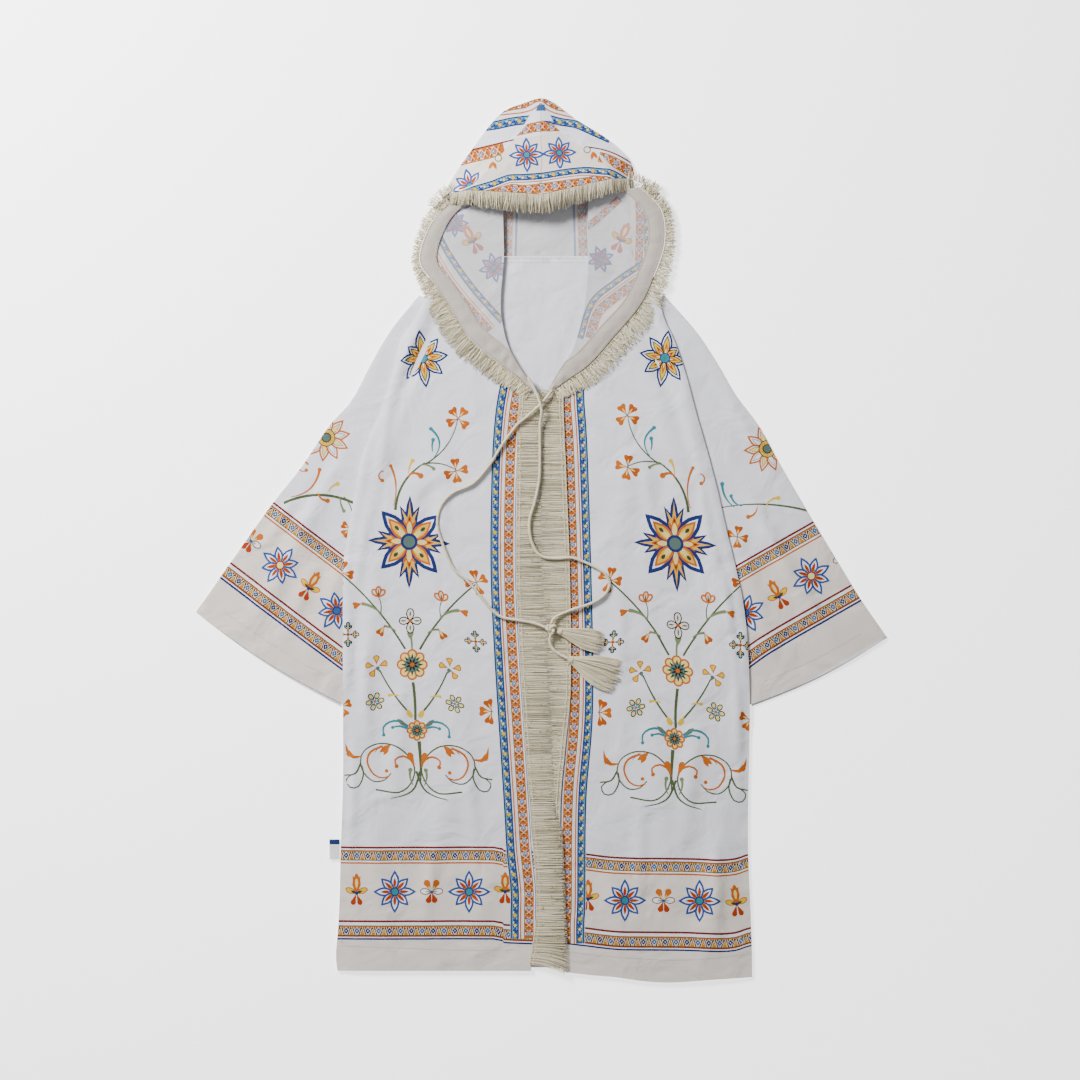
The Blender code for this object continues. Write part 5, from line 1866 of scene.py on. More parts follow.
def scroll_half(m: Motifs) -> None:
    """The left scroll at the foot of the tree; the right one is the same, flipped."""
    olive = (
        (
            (
                (-187.8, -290.9), (-195.8, -299.4), (-209.5, -301.2), (-221.4, -291.2), (-226, -276.2),
                (-220.8, -262.5), (-204.5, -254.4), (-184.5, -256.2), (-169.5, -266.2), (-161.1, -278),
                (-158.3, -289.4), (-164, -305), (-178.3, -315), (-207, -311.6),
            ), 1.7, 2.1,
        ),
        (((-151.6, -288.8), (-158.5, -309.4), (-170.5, -318.2), (-188.3, -322.5)), 3.2, 1.1),
        (((-225.8, -278.8), (-232.4, -291.2), (-246.4, -293.8)), 2.6, 1.8),
        (
            (
                (-224.5, -281.2), (-222.5, -294), (-228.9, -307.8), (-239.3, -308.4), (-243.8, -299.1),
                (-236.2, -292.2),
            ), 2.2, 1.6,
        ),
    )
    for points, width, end in olive:
        m.on.line(points, Ink.OLIVE, width, end)
    m.on.line(
        (
            (-198.3, -257.1), (-213.3, -264.4), (-217.5, -277.5), (-209.5, -292.5), (-198.3, -297),
            (-189.5, -294),
        ), Ink.ORANGE, 3.2, 1.8,
    )
    m.on.disc((-193.5, -288.1), 2.4, Ink.ORANGE)
    m.on.line(((-160.3, -275.6), (-173.3, -269.7), (-182.8, -274.4), (-180.9, -282)), Ink.ORANGE, 3.0, 2.2)
    m.on.disc((-180.9, -282.2), 2.7, Ink.ORANGE)
    m.on.petal((-157.5, -285), 113, (22, 4.2), DROP, (0, Ink.ORANGE))
    m.on.petal((-188.3, -255.6), 214, (17, 3.4), LEAF, (0, Ink.ORANGE))
    m.on.petal((-190.8, -257.5), 240, (13, 3.0), LEAF, (0, Ink.ORANGE))
    m.comma((-160.1, -306.2), (-163.8, -287), 2, 2.8, Ink.SAGE)
    m.on.line(((-208.3, -265), (-204.5, -260.6)), Ink.DARK_OLIVE, 0.8)
    m.on.line(((-225.1, -270), (-234.5, -270.8), (-242, -265)), Ink.ORANGE, 1.6, 7.0)
    m.on.line(((-238.8, -269.4), (-242.8, -262.5), (-245, -253.5)), Ink.ORANGE, 7.0, 0.4)
    for i in range(8):
        m.on.disc((-155.4 - 1.75 * i - 0.12 * i * i, -293 - 3.6 * i + 0.12 * i * i), 0.7, Ink.OLIVE, 6)


def print_garden(on: Canvas, base: Callable[[float, float], Point] | None) -> None:
    """Draws the whole garden of one front."""
    m = Motifs(on)
    upper_garden(m)
    m.vine((-160.5, -177.5), (-157.6, -225), 1, 3.8, Ink.OLIVE, 3.4)
    m.vine((-152.9, -251.2), (-150.8, -301.2), 0.6, 4.8, Ink.OLIVE, 1.6)
    m.vine((-164, -115), (-162, -143.8), 1, 3.0, Ink.SAGE, 2.0)
    for draw in (tree_half, scroll_half):
        draw(m)
        on.warp = lambda x, y: base(*flipped(x, y)) if base else flipped(x, y)
        draw(m)
        on.warp = base
    m.on.petal((-163.8, -123.8), 90, (14, 4.2), ROUND, (0, Ink.SAGE))
    m.cross((-164, -100.9), 15, False)
    m.daisy((-161.5, -155.6), 19.6)
    m.daisy((-155.5, -237.8), 13.2)
    m.hearts((-62.1, -214.1), (112, 178, 255), 16)
    m.hearts((-250.8, -207.5), (20, -60), 14)


def print_front(side: Side) -> Canvas:
    """The print of one front: the garden, the hem's border and the border of the opening."""
    on = Canvas(warp=mirrored if side is Side.RIGHT else None)
    print_garden(on, on.warp)
    on.warp = None
    hem = Band(on, Guide(HEMS[side], (0, 1)), -1)
    hem.hem(160)
    row = Motifs(on)
    if side is Side.LEFT:
        stars, leaves, turn = ((-183.3, -439), (-90.5, -439)), ((-231, -440.8), (-45.5, -439)), 0
        butterfly = (-137.2, -439)
    else:
        stars, leaves, turn = ((104, -449.9), (197.1, -450.4)), ((58, -448.2), (243.6, -454.7)), 8
        butterfly = (152.2, -450.4)
    for centre in stars:
        row.band_star(centre, 27, 0)
    row.leaf_flower(leaves[0], 0)
    row.leaf_flower(leaves[1], turn)
    row.butterfly(butterfly, 0)
    band(on, -side.sign, *BORDERS[side]).opening()
    hem.strips((114.6, 160, Ink.CREAM), (114.6, 116.6, Ink.NAVY))
    return on


def print_sleeve(side: Side) -> Canvas:
    """The print of one sleeve: the cuff's border and the flowers above it."""
    on = Canvas()
    m = Motifs(on)
    if side is Side.LEFT:
        m.vine((-322, 46.2), (-234.5, 46.2), 10, 3.4, Ink.OLIVE, 3.4)
        m.vine((-247, 53.8), (-237, 35), 2, 1.6)
        m.comma((-313.2, 53.8), (-277.2, 87.7), -9, 2.6, Ink.ORANGE)
        m.coil((-297.6, 91.6), 20, 290, 6.4, 5.8, Ink.ORANGE, 2.6, 1.2, 2.4)
        m.commas(
            ((-265.8, 60), (-254.5, 70), 2, 2.8, Ink.YELLOW),
            ((-279.5, 60), (-267, 48.8), -3, 3.0, Ink.ORANGE),
            ((-252, 53.8), (-247, 36.2), -1, 2.4, Ink.SAGE),
        )
        m.hearts((-238.3, 13.8), (150, 215, 255), 13)
        m.sleeve_star((-268.9, 128), 31, 9)
        m.sleeve_star((-182, 136.2), 26, 9)
    else:
        m.vine((338, 35), (221.7, 40), -7, 3.0)
        m.commas(
            ((240.5, 41.2), (225.5, 70), 4, 2.8, Ink.TEAL),
            ((250.5, 42.5), (236.7, 55), 3, 2.4, Ink.TEAL),
            ((280.5, 42.5), (295.5, 52.5), 3, 2.8, Ink.YELLOW),
            ((269.2, 41.2), (258, 28.8), 3, 2.8, Ink.ORANGE),
        )
        m.hearts((244.2, 3.8), (80, 160, -10, -90), 14)
        m.sleeve_star((281.8, 113.8), 30, 4)
    way = (0.6, 0.8) if side is Side.LEFT else (-0.495, 0.869)
    Band(on, Guide(CUFFS[side], way), -1).hem(170)
    if side is Side.LEFT:
        m.band_star((-326.5, -31.6), 27, -37, Ink.PALE_YELLOW)
        m.band_star((-255.8, -88.3), 27, -37, Ink.BLUE)
        m.butterfly((-362.8, -1.5), -37)
        m.leaf_flower((-290.9, -60.5), -33)
        m.butterfly((-398.2, 26.2), -37)
    else:
        m.band_star((336.8, -45), 27, 30, Ink.PALE_YELLOW)
        m.band_star((254.2, -91.2), 27, 30, Ink.BLUE)
        m.leaf_flower((296.8, -71.2), 30)
        m.butterfly((376.8, -21.2), 30)
    return on


def print_crown() -> Canvas:
    """The print of the crown: its front facet, then the two flanks and the borders round them."""
    on = Canvas()
    m = Motifs(on)
    on.fill(((-45.8, 500), (48, 507.5), (148, 425), (-127, 412.5)), Ink.CREAM)
    band(on, 1, (-44.5, 500.6), (-11.1, 507.5), (1.7, 508.8), (38, 509.8)).mosaic(0, 12.5)
    on.line(((-29.5, 517), (1.6, 522.5), (23, 522)), Ink.DARK_RED, 1.6)
    m.band_star((-18.5, 478.8), 23, 2)
    m.band_star((22.1, 481.2), 22, 3)
    on.fill((
        (-3.3, 540), (-13.3, 523.8), (-37, 497.5), (-55.8, 471.2), (-92, 435), (-139.5, 418.8),
        (-139.5, 562.5), (-3.3, 562.5),
    ), Ink.WHITE)
    on.fill((
        (5.5, 537.5), (13, 522.5), (29.2, 501.2), (65.5, 480), (101.7, 452.5), (129.2, 433.8),
        (160.5, 433.8), (135.5, 562.5), (4.2, 562.5),
    ), Ink.WHITE)
    for points in (
        ((-127, 465), (-100.5, 467.5), (-67.3, 474.2), (-49.5, 478.8), (-92, 435), (-139.5, 418.8)),
        ((68, 481.2), (88, 467.5), (113, 452.5), (148, 437.5), (129.2, 431.2), (101.7, 452.5)),
    ):
        on.fill(points, Ink.CREAM)
    m.band_star((-89.5, 440), 24, 12)
    band(on, 1, (-114.5, 463.8), (-100.5, 467.5), (-67.3, 474.2), (-44.5, 480)).mosaic(0, 16)
    on.fill(
        ((-34.5, 501.2), (-55.8, 471.2), (-92, 435), (-72, 428.8), (-43.3, 455), (-24.5, 490)), Ink.CREAM
    )
    m.band_star((-18.5, 478.8), 23, 2)
    for points in (
        ((-102, 482.5), (-87.8, 487), (-62.3, 492.5), (-34.5, 498.8)),
        ((54.6, 489.8), (75, 487), (94.2, 480.6), (115.5, 468.8)),
    ):
        on.line(points, Ink.DARK_RED, 2.0)
    band(on, -1, (73, 483.8), (87.7, 479.4), (108.3, 469.1), (120.5, 461.2)).mosaic(0, 14)
    on.fill(((68, 486.2), (76.7, 467.5), (93, 455), (105.5, 448.8), (80.5, 471.2)), Ink.CREAM)
    for ring, base, heads in (
        ((-53.8, 475), (-60.3, 471), (-118, -68)), ((56.7, 485.8), (63.8, 483.8), (-98, -60)),
    ):
        on.disc(ring, 4.8, Ink.OLIVE, 14)
        on.disc(ring, 3.5, Ink.CREAM, 14)
        for head in heads:
            on.petal(base, head, (11.5, 2.2), LEAF, (0, Ink.ORANGE))
    band(on, -1, (-72, 521.9), (-58.3, 523.4), (-37, 527.8), (-12.5, 530.4)).blue(0, 11.5)
    band(on, -1, (5.5, 531.8), (24, 527.1), (44.2, 524), (62.2, 516.4), (88, 505)).blue(0, 10.5)
    on.fill(
        ((-12.6, 533.8), (-0.8, 536.9), (8.6, 533.8), (14.2, 522.8), (1.6, 523), (-22, 518)), Ink.WHITE
    )
    on.line(((-52, 530.8), (-24, 533.5), (-9.9, 538), (-0.8, 545)), Ink.ORANGE, 1.8)
    on.line(((-0.8, 545), (4.9, 538.8), (15.1, 533.5), (48, 525.5)), Ink.ORANGE, 1.8)
    on.fill(((-7, 535.5), (-5.1, 542.5), (3.6, 543.8), (5.5, 535.5)), Ink.BLUE)
    for points in (
        ((-52, 532.5), (-38.3, 536.2), (-20.1, 539.2), (-7.4, 546.2), (-0.3, 547.5)),
        ((-0.3, 547.5), (6.1, 543.1), (17.6, 536.8), (36.7, 532.9), (48, 531.2)),
    ):
        band(on, 1, *points).mosaic(0, 15)
    below = band(
        on, -1, (-102, 433.2), (-91.5, 437.5), (-77.5, 441.8), (-62.3, 446.2), (-41.8, 453.8),
        (-24, 454.5), (1.6, 456.4), (24, 460.2), (52.1, 463.4), (75, 462.1), (90.4, 459.6), (123, 442.5),
    )
    below.strip(-1.2, 24, Ink.WHITE)
    below.blue(0, 8.6)
    below.strip(10.0, 11.4, Ink.ORANGE)
    band(
        on, -1, (-89.5, 430), (-55.8, 436.6), (-37, 441.8), (-20.1, 440.4), (8, 443.8), (49.5, 449.4),
        (77.6, 451.9), (118, 437.5),
    ).mosaic(0, 12)
    return on


def print_hood_side(side: Side) -> Canvas:
    """The print that shows through the inner face of a folded hood side."""
    on = Canvas(Ink.INSIDE, 0.36)
    m = Motifs(on)
    if side is Side.LEFT:
        outer = band(on, 1, (-147, 380), (-132, 347.5), (-107, 310), (-64.5, 261.2))
        outer.strip(-16, 12, Ink.CREAM)
        outer.mosaic(-8, 5)
        outer.strip(7, 8.2, Ink.ORANGE)
        band(
            on, 1, (-139.5, 393.8), (-134.9, 385), (-119.5, 355), (-89.5, 312.5), (-52, 270)
        ).blue(0, 8)
        on.fill(((-132, 410), (-119.5, 437.5), (-84.5, 430), (-89.5, 417.5), (-127, 400)), Ink.CREAM)
        on.line(((-132, 397.5), (-112, 406.2), (-89.5, 416.9), (-77, 426.2)), Ink.NAVY, 3.0)
        m.band_star((-59.6, 339.8), 20, 12)
        m.band_star((-108.3, 395), 18, 0)
        m.leaf_flower((-85.1, 372.2), 30)
    else:
        on.fill(((110.5, 430), (135.5, 425), (135.5, 330), (113, 347.5)), Ink.CREAM)
        band(on, -1, (119.2, 437.5), (120.5, 395), (119.2, 340)).mosaic(-7, 3)
        band(on, 1, (126.7, 437.5), (128, 395), (128, 335)).blue(0, 5)
        outer = band(on, -1, (50.5, 255), (63, 290), (90.5, 313.8), (130.5, 342.5))
        outer.strips((-3, 22, Ink.CREAM), (1, 2.2, Ink.ORANGE))
        outer.mosaic(4, 16)
        band(on, -1, (44.2, 252.5), (59.2, 297.5), (88, 323.8), (126.7, 350)).blue(0, 8)
        band(on, 1, (55.5, 385), (73, 397.5), (100.5, 422.5)).mosaic(0, 9)
        m.band_star((73.5, 350.5), 18, 20)
        m.leaf_flower((98.5, 373.5), -25)
    return on


def print_hood_back() -> Canvas:
    """The borders that show through the inner face of the hood's lower layer."""
    on = Canvas(Ink.INSIDE, 0.45)
    for x, sense in ((-46.0, 1), (55.5, -1)):
        ends = ((x, 420.0), (x - 2 * sense, 352.0))
        shown = band(on, sense, *ends)
        shown.mosaic(0, 11)
        shown.strip(14, 16.6, Ink.BLUE)
    return on


# How far from the cuff's edge the stitches of its turned-up hem lie
CUFF_HEM = 22.0
# How far below the neck's edge its two rows of stitches lie
NECK_SEAMS = (2.2, 7.5)
# The least share of its flat rectangle that a sheet's cut is taken to fill
LEAST_CUT = 0.301
# The rows of stitches that hold the turned-up hem of each front
HEM_SEAMS = {
    Side.LEFT: ((-253.3, -506.5), (-177, -509.2), (-119.5, -511.5), (-30.8, -512)),
    Side.RIGHT: ((34.2, -513.8), (75.5, -518.8), (145.5, -523.8), (198, -523.2), (256.8, -516.9)),
}


def claim(node: str) -> None:
    """Hides the CAD node that a piece replaces."""
    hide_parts(node)


def lay(
    skin: Skin, node: str, kind: str, finishes: Sequence[Finish], flat: Point,
    area: float, sharp: float = SOFT,
) -> None:
    """Makes a sheet of a skin and hides the CAD node that it replaces.

    Args:
        skin: The sheet's points and faces.
        node: The CAD node that it replaces.
        kind: The word that ends the piece's name.
        finishes: The material of each slot.
        flat: The cut's width and length in millimetres.
        area: The cut's area in square millimetres.
        sharp: Edges steeper than this angle, in degrees, stay crisp.
    """
    obj = skin.object("%s_%s" % (node, kind), finishes, sharp)
    claim(node)
    width, length = flat
    area = min(max(area, LEAST_CUT * width * length), width * length)


@dataclass
class Panels:
    """The body: the plain back and the two printed fronts."""

    row_step: float = 12.0
    hem_steps: int = 20
    roll: float = 2.6
    roll_width: float = 6.0
    roll_ease: float = 40.0
    opening_hold: float = 40.0

    def back(self) -> None:
        """Builds the back, which shows inside the V of the neck."""
        seams = {side: armhole_seam(side, 13) for side in Side}
        heights = {round(y, 3) for seam in seams.values() for _, y in seam}
        heights |= {y for y, *_ in BODY if y > SHOULDER_SEAM_Y or BACK_HEM_Y < y < UNDERARM_Y}
        heights.add(BACK_HEM_Y)
        rows = sorted(heights, reverse=True)
        left = [(self.back_edge(y, Side.LEFT, seams), y) for y in rows]
        right = [(self.back_edge(y, Side.RIGHT, seams), y) for y in rows]
        outline = left + right[::-1]
        shell = Shell(
            outline, Canvas(),
            lambda x, y: ON_FLOOR,
            lambda x, y: CLOTH + min(0.0, ridges(BACK_CREASES, x, y)),
            grid=9.0, plain_grid=40.0,
        )
        skin = shell.skin()
        for drop in NECK_SEAMS:
            stitch(skin, ((-47, NECK_Y - drop), (57, NECK_Y - drop)), shell.high, linear(SEWING))
        flat = (520, 892)
        lay(skin, "back", "cloth", (COTTON, THREAD), flat, area_of(outline))

    def back_edge(self, y: float, side: Side, seams: dict[Side, list[Point]]) -> float:
        """The back's edge: straight between the seam's points beside a sleeve."""
        for (x1, y1), (x2, y2) in zip(seams[side], seams[side][1:]):
            if y2 <= y <= y1:
                return x1 + (x2 - x1) * (y1 - y) / (y1 - y2)
        return body_edge(y, side.value[1])

    def front(self, side: Side) -> None:
        """Builds one printed front."""
        rows = int((NECK_Y - HEM_Y) / self.row_step)
        inner, outer = [], []
        for r in range(rows + 1):
            y = NECK_Y + (HEM_Y - NECK_Y) * r / rows
            for line, index in ((outer, side.value[1]), (inner, side.value[2])):
                x = body_edge(y, index)
                drop = right_hem_drop(x, y) if side is Side.RIGHT else 0.0
                line.append((x, y - drop))
        hem = []
        for i in range(1, self.hem_steps):
            x = inner[-1][0] + (outer[-1][0] - inner[-1][0]) * i / self.hem_steps
            drop = right_hem_drop(x, HEM_Y) if side is Side.RIGHT else 0.0
            hem.append((x, HEM_Y - drop))
        outline = inner + hem + outer[::-1]
        canvas = print_front(side)
        shell = Shell(
            outline, canvas,
            lambda x, y: self.low(side, x, y),
            lambda x, y: self.low(side, x, y) + CLOTH,
        )
        skin = shell.skin()
        stitch(skin, HEM_SEAMS[side], shell.high, linear(SEWING))
        lay(
            skin, "front_" + side.word, "cloth", (COTTON, THREAD), (290, 905),
            area_of(outline),
        )

    def low(self, side: Side, x: float, y: float) -> float:
        """The underside of a front with its creases, held flat at its edges."""
        drop = right_hem_drop(x, y) if side is Side.RIGHT else 0.0
        level = y + drop
        edge = body_edge(level, side.value[1])
        opening = body_edge(level, side.value[2])
        held = ease(abs(edge - x) / EDGE_HOLD) * ease(abs(opening - x) / self.opening_hold)
        beside = abs(edge - x) - self.roll_width
        roll = self.roll * math.exp(-((beside / self.roll_width) ** 2))
        roll *= ease((level - UNDERARM_Y) / self.roll_ease)
        roll *= ease((NECK_Y - self.roll_ease / 2 - level) / self.roll_ease)
        creases = ridges(FRONT_CREASES, x, level) * held * CREASE_GAIN
        return front_bottom(x, level) + max(roll, creases) + min(0.0, creases)


@dataclass
class Sleeves:
    """Two wide sleeves pressed flat: one wall under, round the upper fold and over."""

    across: int = 24
    rows: int = 30
    radius: float = LAYER / 2 + CLOTH / 2

    def build(self, side: Side, edge: Table) -> None:
        """Builds one sleeve from its folded upper edge."""
        seam = armhole_seam(side, 13)
        fold = [along_line(edge, r / self.rows) for r in range(self.rows + 1)]
        seam = [along_line(seam, r / self.rows) for r in range(self.rows + 1)]
        tuck = [(x - side.sign * SLEEVE_TUCK, y) for x, y in seam]
        steps = [SEAM_GAP + UNDERARM_STEP * r / self.rows for r in range(self.rows + 1)]
        under = [(x + side.sign * step, y) for (x, y), step in zip(seam, steps)]
        bend = Line(fold)
        terrain = self.terrain(fold, tuck, side)
        skin = Skin()
        upper = Shell(
            fold + self.cuff(fold, tuck, side) + tuck[::-1],
            print_sleeve(side),
            lambda x, y: self.round(bend, x, y, terrain.height(x, y), self.radius, 0.0),
            lambda x, y: self.round(bend, x, y, terrain.height(x, y) + CLOTH, self.radius, 1.0),
            lines=self.bends(fold, tuck),
        )
        upper.build(skin)
        lower = Shell(
            fold + self.cuff(fold, under, side) + under[::-1],
            Canvas(),
            lambda x, y: self.round(bend, x, y, 0.0, self.radius, -1.0),
            lambda x, y: self.round(bend, x, y, CLOTH, self.radius, 0.0),
            grid=30.0,
            lines=self.bends(fold, under),
        )
        lower.build(skin)
        seam_line = [
            (x - side.sign * CUFF_HEM * 0.54, y + CUFF_HEM * 0.84)
            for x, y in self.cuff(fold, tuck, side)[1:-2]
        ]
        stitch(skin, seam_line, upper.high, linear(SEWING))
        lay(
            skin, "sleeve_" + side.word, "cloth", (COTTON, THREAD), (440, 488),
            2 * area_of(upper.outline),
        )

    def cuff(self, fold: Table, inner: Table, side: Side) -> list[Point]:
        """The cuff's edge, bowed a little, from the fold to the underarm."""
        points = []
        for step in range(1, 16):
            part = 1 - step / 16
            lift = CUFF_BOW * math.sin(math.pi * part)
            x = inner[-1][0] + (fold[-1][0] - inner[-1][0]) * part
            y = inner[-1][1] + (fold[-1][1] - inner[-1][1]) * part
            points.append((x + side.sign * lift * CUFF_BOW_OUT, y - lift))
        return points

    def bends(self, fold: Table, inner: Table) -> list[list[Point]]:
        """Lines beside the folded edge that carry its roundness."""
        lines = []
        for depth in (0.18, 0.6, 1.0):
            line = []
            for (fx, fy), (sx, sy) in zip(fold[1:-1], inner[1:-1]):
                way = Vector((sx - fx, sy - fy)).normalized() * self.radius * depth
                line.append((fx + way.x, fy + way.y))
            lines.append(line)
        return lines

    def round(self, bend: Line, x: float, y: float, flat: float, radius: float, face: float) -> float:
        """Turns a flat height into a rounded one close to the folded edge.

        Args:
            bend: The folded edge.
            x: The place across the garment.
            y: The place along the garment.
            flat: The height away from the edge.
            radius: The fold's radius.
            face: 1 for the face on top, -1 for the one below, 0 for the inner ones.

        Returns:
            The height at the place.
        """
        depth = bend.distance(x, y, radius * 1.05)
        if depth >= radius:
            return flat
        beyond = radius - depth
        return radius + face * math.sqrt(max(radius * radius - beyond * beyond, 0.0))

    def terrain(self, fold: Table, tuck: Table, side: Side) -> Terrain:
        """The underside of the sleeve's upper layer."""
        grid = []
        for r, ((cx, cy), (tx, ty)) in enumerate(zip(fold, tuck)):
            bow = CUFF_BOW * (r / self.rows) ** 3
            row = []
            for step in range(self.across + 1):
                part = step / self.across
                lift = bow * math.sin(math.pi * part)
                x = tx + (cx - tx) * part + side.sign * lift * CUFF_BOW_OUT
                y = ty + (cy - ty) * part - lift
                held = ease(part / SEAM_HOLD) * ease((1 - part) / FOLD_HOLD)
                creases = max(ridges(SLEEVE_CREASES, x, y) * CREASE_GAIN, -0.2)
                z = ON_BACK + (ridges(FOLDS, x, y) + creases) * held
                row.append((x, y, z))
            grid.append(row)
        return Terrain(grid)


@dataclass
class Hood:
    """The hood laid open: a flat lower layer, a crown in two halves and two folded sides."""

    crown_slope: float = 1.1
    casing_rows: int = 150
    casing_seams: tuple[float, float] = (0.05, 0.93)

    def back(self) -> None:
        """Builds the lower layer, whose inner face shows in the mouth."""
        left = [(x, y) for y, x, _ in HOOD_BACK]
        right = [(x, y) for y, _, x in HOOD_BACK]
        outline = left + right[::-1]
        shell = Shell(
            outline, print_hood_back(),
            lambda x, y: ON_FLOOR,
            lambda x, y: CLOTH + min(0.0, ridges(HOOD_BACK_CREASES, x, y)),
            grid=7.0, plain_grid=20.0,
        )
        skin = shell.skin()
        flat = (266, 200)
        lay(skin, "hood_back", "cloth", (COTTON_BACK,), flat, area_of(outline))

    def crown(self, side: Side) -> None:
        """Builds one printed half of the crown."""
        terrain = Terrain(crown_grid(side, 46, 12))
        grid = crown_grid(side, 16, 5)
        outline = border(grid)
        shell = Shell(
            outline, print_crown(),
            lambda x, y: terrain.height(x, y) + self.crown_crease(x, y),
            lambda x, y: terrain.height(x, y) + self.crown_crease(x, y) + CLOTH,
            grid=5.0, plain_grid=9.0,
            lines=[[(p[0], p[1]) for p in column(grid, 5)][1:-1]],
        )
        skin = shell.skin()
        lay(
            skin, "hood_crown_" + side.word, "cloth", (COTTON,), (150, 150),
            area_of(outline) * self.crown_slope, CRISP,
        )

    def crown_crease(self, x: float, y: float) -> float:
        """The crown's own small wrinkles."""
        return max(-0.3, ridges(CROWN_CREASES, x, y))

    def side(self, side: Side, table: Table) -> None:
        """Builds one side, folded outward with its inner face up, and its facing."""
        terrain = Terrain(hood_side_grid(table, 60, 6, math.inf, ON_FRONT))
        outline = border(hood_side_grid(table, 40, 5, math.inf, ON_FRONT))
        shell = Shell(
            outline, print_hood_side(side),
            terrain.height,
            lambda x, y: terrain.height(x, y) + CLOTH,
            grid=6.0, plain_grid=14.0,
        )
        skin = shell.skin()
        lay(
            skin, "hood_side_" + side.word, "cloth", (COTTON_BACK,), (110, 330),
            area_of(outline),
        )
        self.facing(side, table)

    def facing(self, side: Side, table: Table) -> None:
        """Builds the drawstring's casing along the free edge, puckered where the cord gathers it."""
        rows = self.casing_rows
        grid = hood_side_grid(table, rows, 9, FACING_WIDTH, ON_HOOD_SIDE)
        low, high = [], []
        for r, row in enumerate(grid):
            gather = ease((r / rows - 0.45) / 0.3)
            wave = math.sin(r * 0.62 + 1.1 * math.sin(r * 0.17)) * (0.25 + 0.65 * gather)
            low_row, high_row = [], []
            for c, (x, y, z) in enumerate(row):
                part = c / (len(row) - 1)
                swell = math.sin(math.pi * min(max((part - 0.12) / 0.76, 0), 1)) ** 0.7
                lift = swell * (0.9 + wave * 0.6)
                low_row.append((x, y, z))
                high_row.append((x, y, z + CLOTH + lift))
            low.append(low_row)
            high.append(high_row)
        skin = Skin()
        # The facing's colour: its own cream with painted shade darkening it
        slab(skin, low, high, linear(CASING_CREAM_AND_PAINTED_SHADE))
        top = Terrain(high)
        for part in self.casing_seams:
            seam = []
            for row in high[2:-2:3]:
                (x1, y1, _), (x2, y2, _) = row[0], row[-1]
                seam.append((x1 + (x2 - x1) * part, y1 + (y2 - y1) * part))
            stitch(skin, seam, top.height, linear(SEWING_DARK), thick=0.36)
        lay(
            skin, "facing_" + side.word, "casing", (CASING, THREAD),
            (FACING_WIDTH, 345), area_of(border(grid)),
        )


def slab(
    skin: Skin, low: Sequence[Sequence[Place]], high: Sequence[Sequence[Place]], colour: tuple
) -> None:
    """Adds a closed strip between two grids of points."""
    ids = []
    for grid in (low, high):
        ids.append([])
        for row in grid:
            ids[-1].append(list(range(len(skin.points), len(skin.points) + len(row))))
            skin.points.extend(row)
    base, top = ids
    a, b, c = (Vector(p[:2]) for p in (high[0][0], high[0][1], high[1][0]))
    right_way = (b - a).cross(c - a) > 0
    rows, columns = len(low), len(low[0])

    def put(face: tuple[int, ...]) -> None:
        """Adds one face, turned outward."""
        skin.add(face if right_way else face[::-1], colour)

    for r in range(rows - 1):
        for k in range(columns - 1):
            put((top[r][k], top[r][k + 1], top[r + 1][k + 1], top[r + 1][k]))
            put((base[r][k], base[r + 1][k], base[r + 1][k + 1], base[r][k + 1]))
    for r in range(rows - 1):
        put((top[r][0], top[r + 1][0], base[r + 1][0], base[r][0]))
        put((top[r + 1][-1], top[r][-1], base[r][-1], base[r + 1][-1]))
    for k in range(columns - 1):
        put((top[0][k + 1], top[0][k], base[0][k], base[0][k + 1]))
        put((top[-1][k], top[-1][k + 1], base[-1][k + 1], base[-1][k]))


@dataclass
class Studio:
    """The pale floor, the soft lights and the camera straight above, in metres."""

    view_width: float = 1.35
    lens: float = 85.0
    sensor: float = 36.0
    centre: Point = (-0.002, 0.0)
    floor_half: float = 6.0
    floor_z: float = -0.0002
    sky_strength: float = 0.36
    floor_glow: float = 1.6

    def build(self) -> None:
        """Adds the camera, the lights and the floor."""
        camera = bpy.data.objects.new("camera", bpy.data.cameras.new("camera"))
        camera.data.lens = self.lens
        camera.data.sensor_width = self.sensor
        camera.location = (*self.centre, self.view_width * self.lens / self.sensor)
        bpy.context.scene.collection.objects.link(camera)
        bpy.context.scene.camera = camera
        self.light("key", (-1.45, 1.5, 1.3), 0.7, 172.0)
        self.light("fill", (0.9, -0.6, 2.4), 2.4, 8.0)
        world = bpy.data.worlds.new("studio")
        world.use_nodes = True
        sky = world.node_tree.nodes["Background"]
        sky.inputs["Color"].default_value = linear("#ffffff")
        sky.inputs["Strength"].default_value = self.sky_strength
        bpy.context.scene.world = world
        mesh = bpy.data.meshes.new("floor")
        signs = ((-1, -1), (1, -1), (1, 1), (-1, 1))
        corners = [(x * self.floor_half, y * self.floor_half, self.floor_z) for x, y in signs]
        mesh.from_pydata(corners, [], [(0, 1, 2, 3)])
        paper = bpy.data.materials.new("white_backdrop_paper")
        paper.use_nodes = True
        shader = paper.node_tree.nodes["Principled BSDF"]
        shader.inputs["Base Color"].default_value = linear("#fbfbfb")
        shader.inputs["Roughness"].default_value = 0.95
        shader.inputs["Specular IOR Level"].default_value = 0.1
        shader.inputs["Emission Color"].default_value = linear("#ffffff")
        shader.inputs["Emission Strength"].default_value = self.floor_glow
        mesh.materials.append(paper)
        floor = bpy.data.objects.new("floor", mesh)
        bpy.context.scene.collection.objects.link(floor)

    def light(self, name: str, place: Place, size: float, power: float) -> None:
        """Adds one square soft light that looks at the garment."""
        data = bpy.data.lights.new(name, "AREA")
        data.size = size
        data.energy = power
        lamp = bpy.data.objects.new(name, data)
        lamp.location = place
        lamp.rotation_euler = Vector(place).to_track_quat("Z", "Y").to_euler()
        bpy.context.scene.collection.objects.link(lamp)


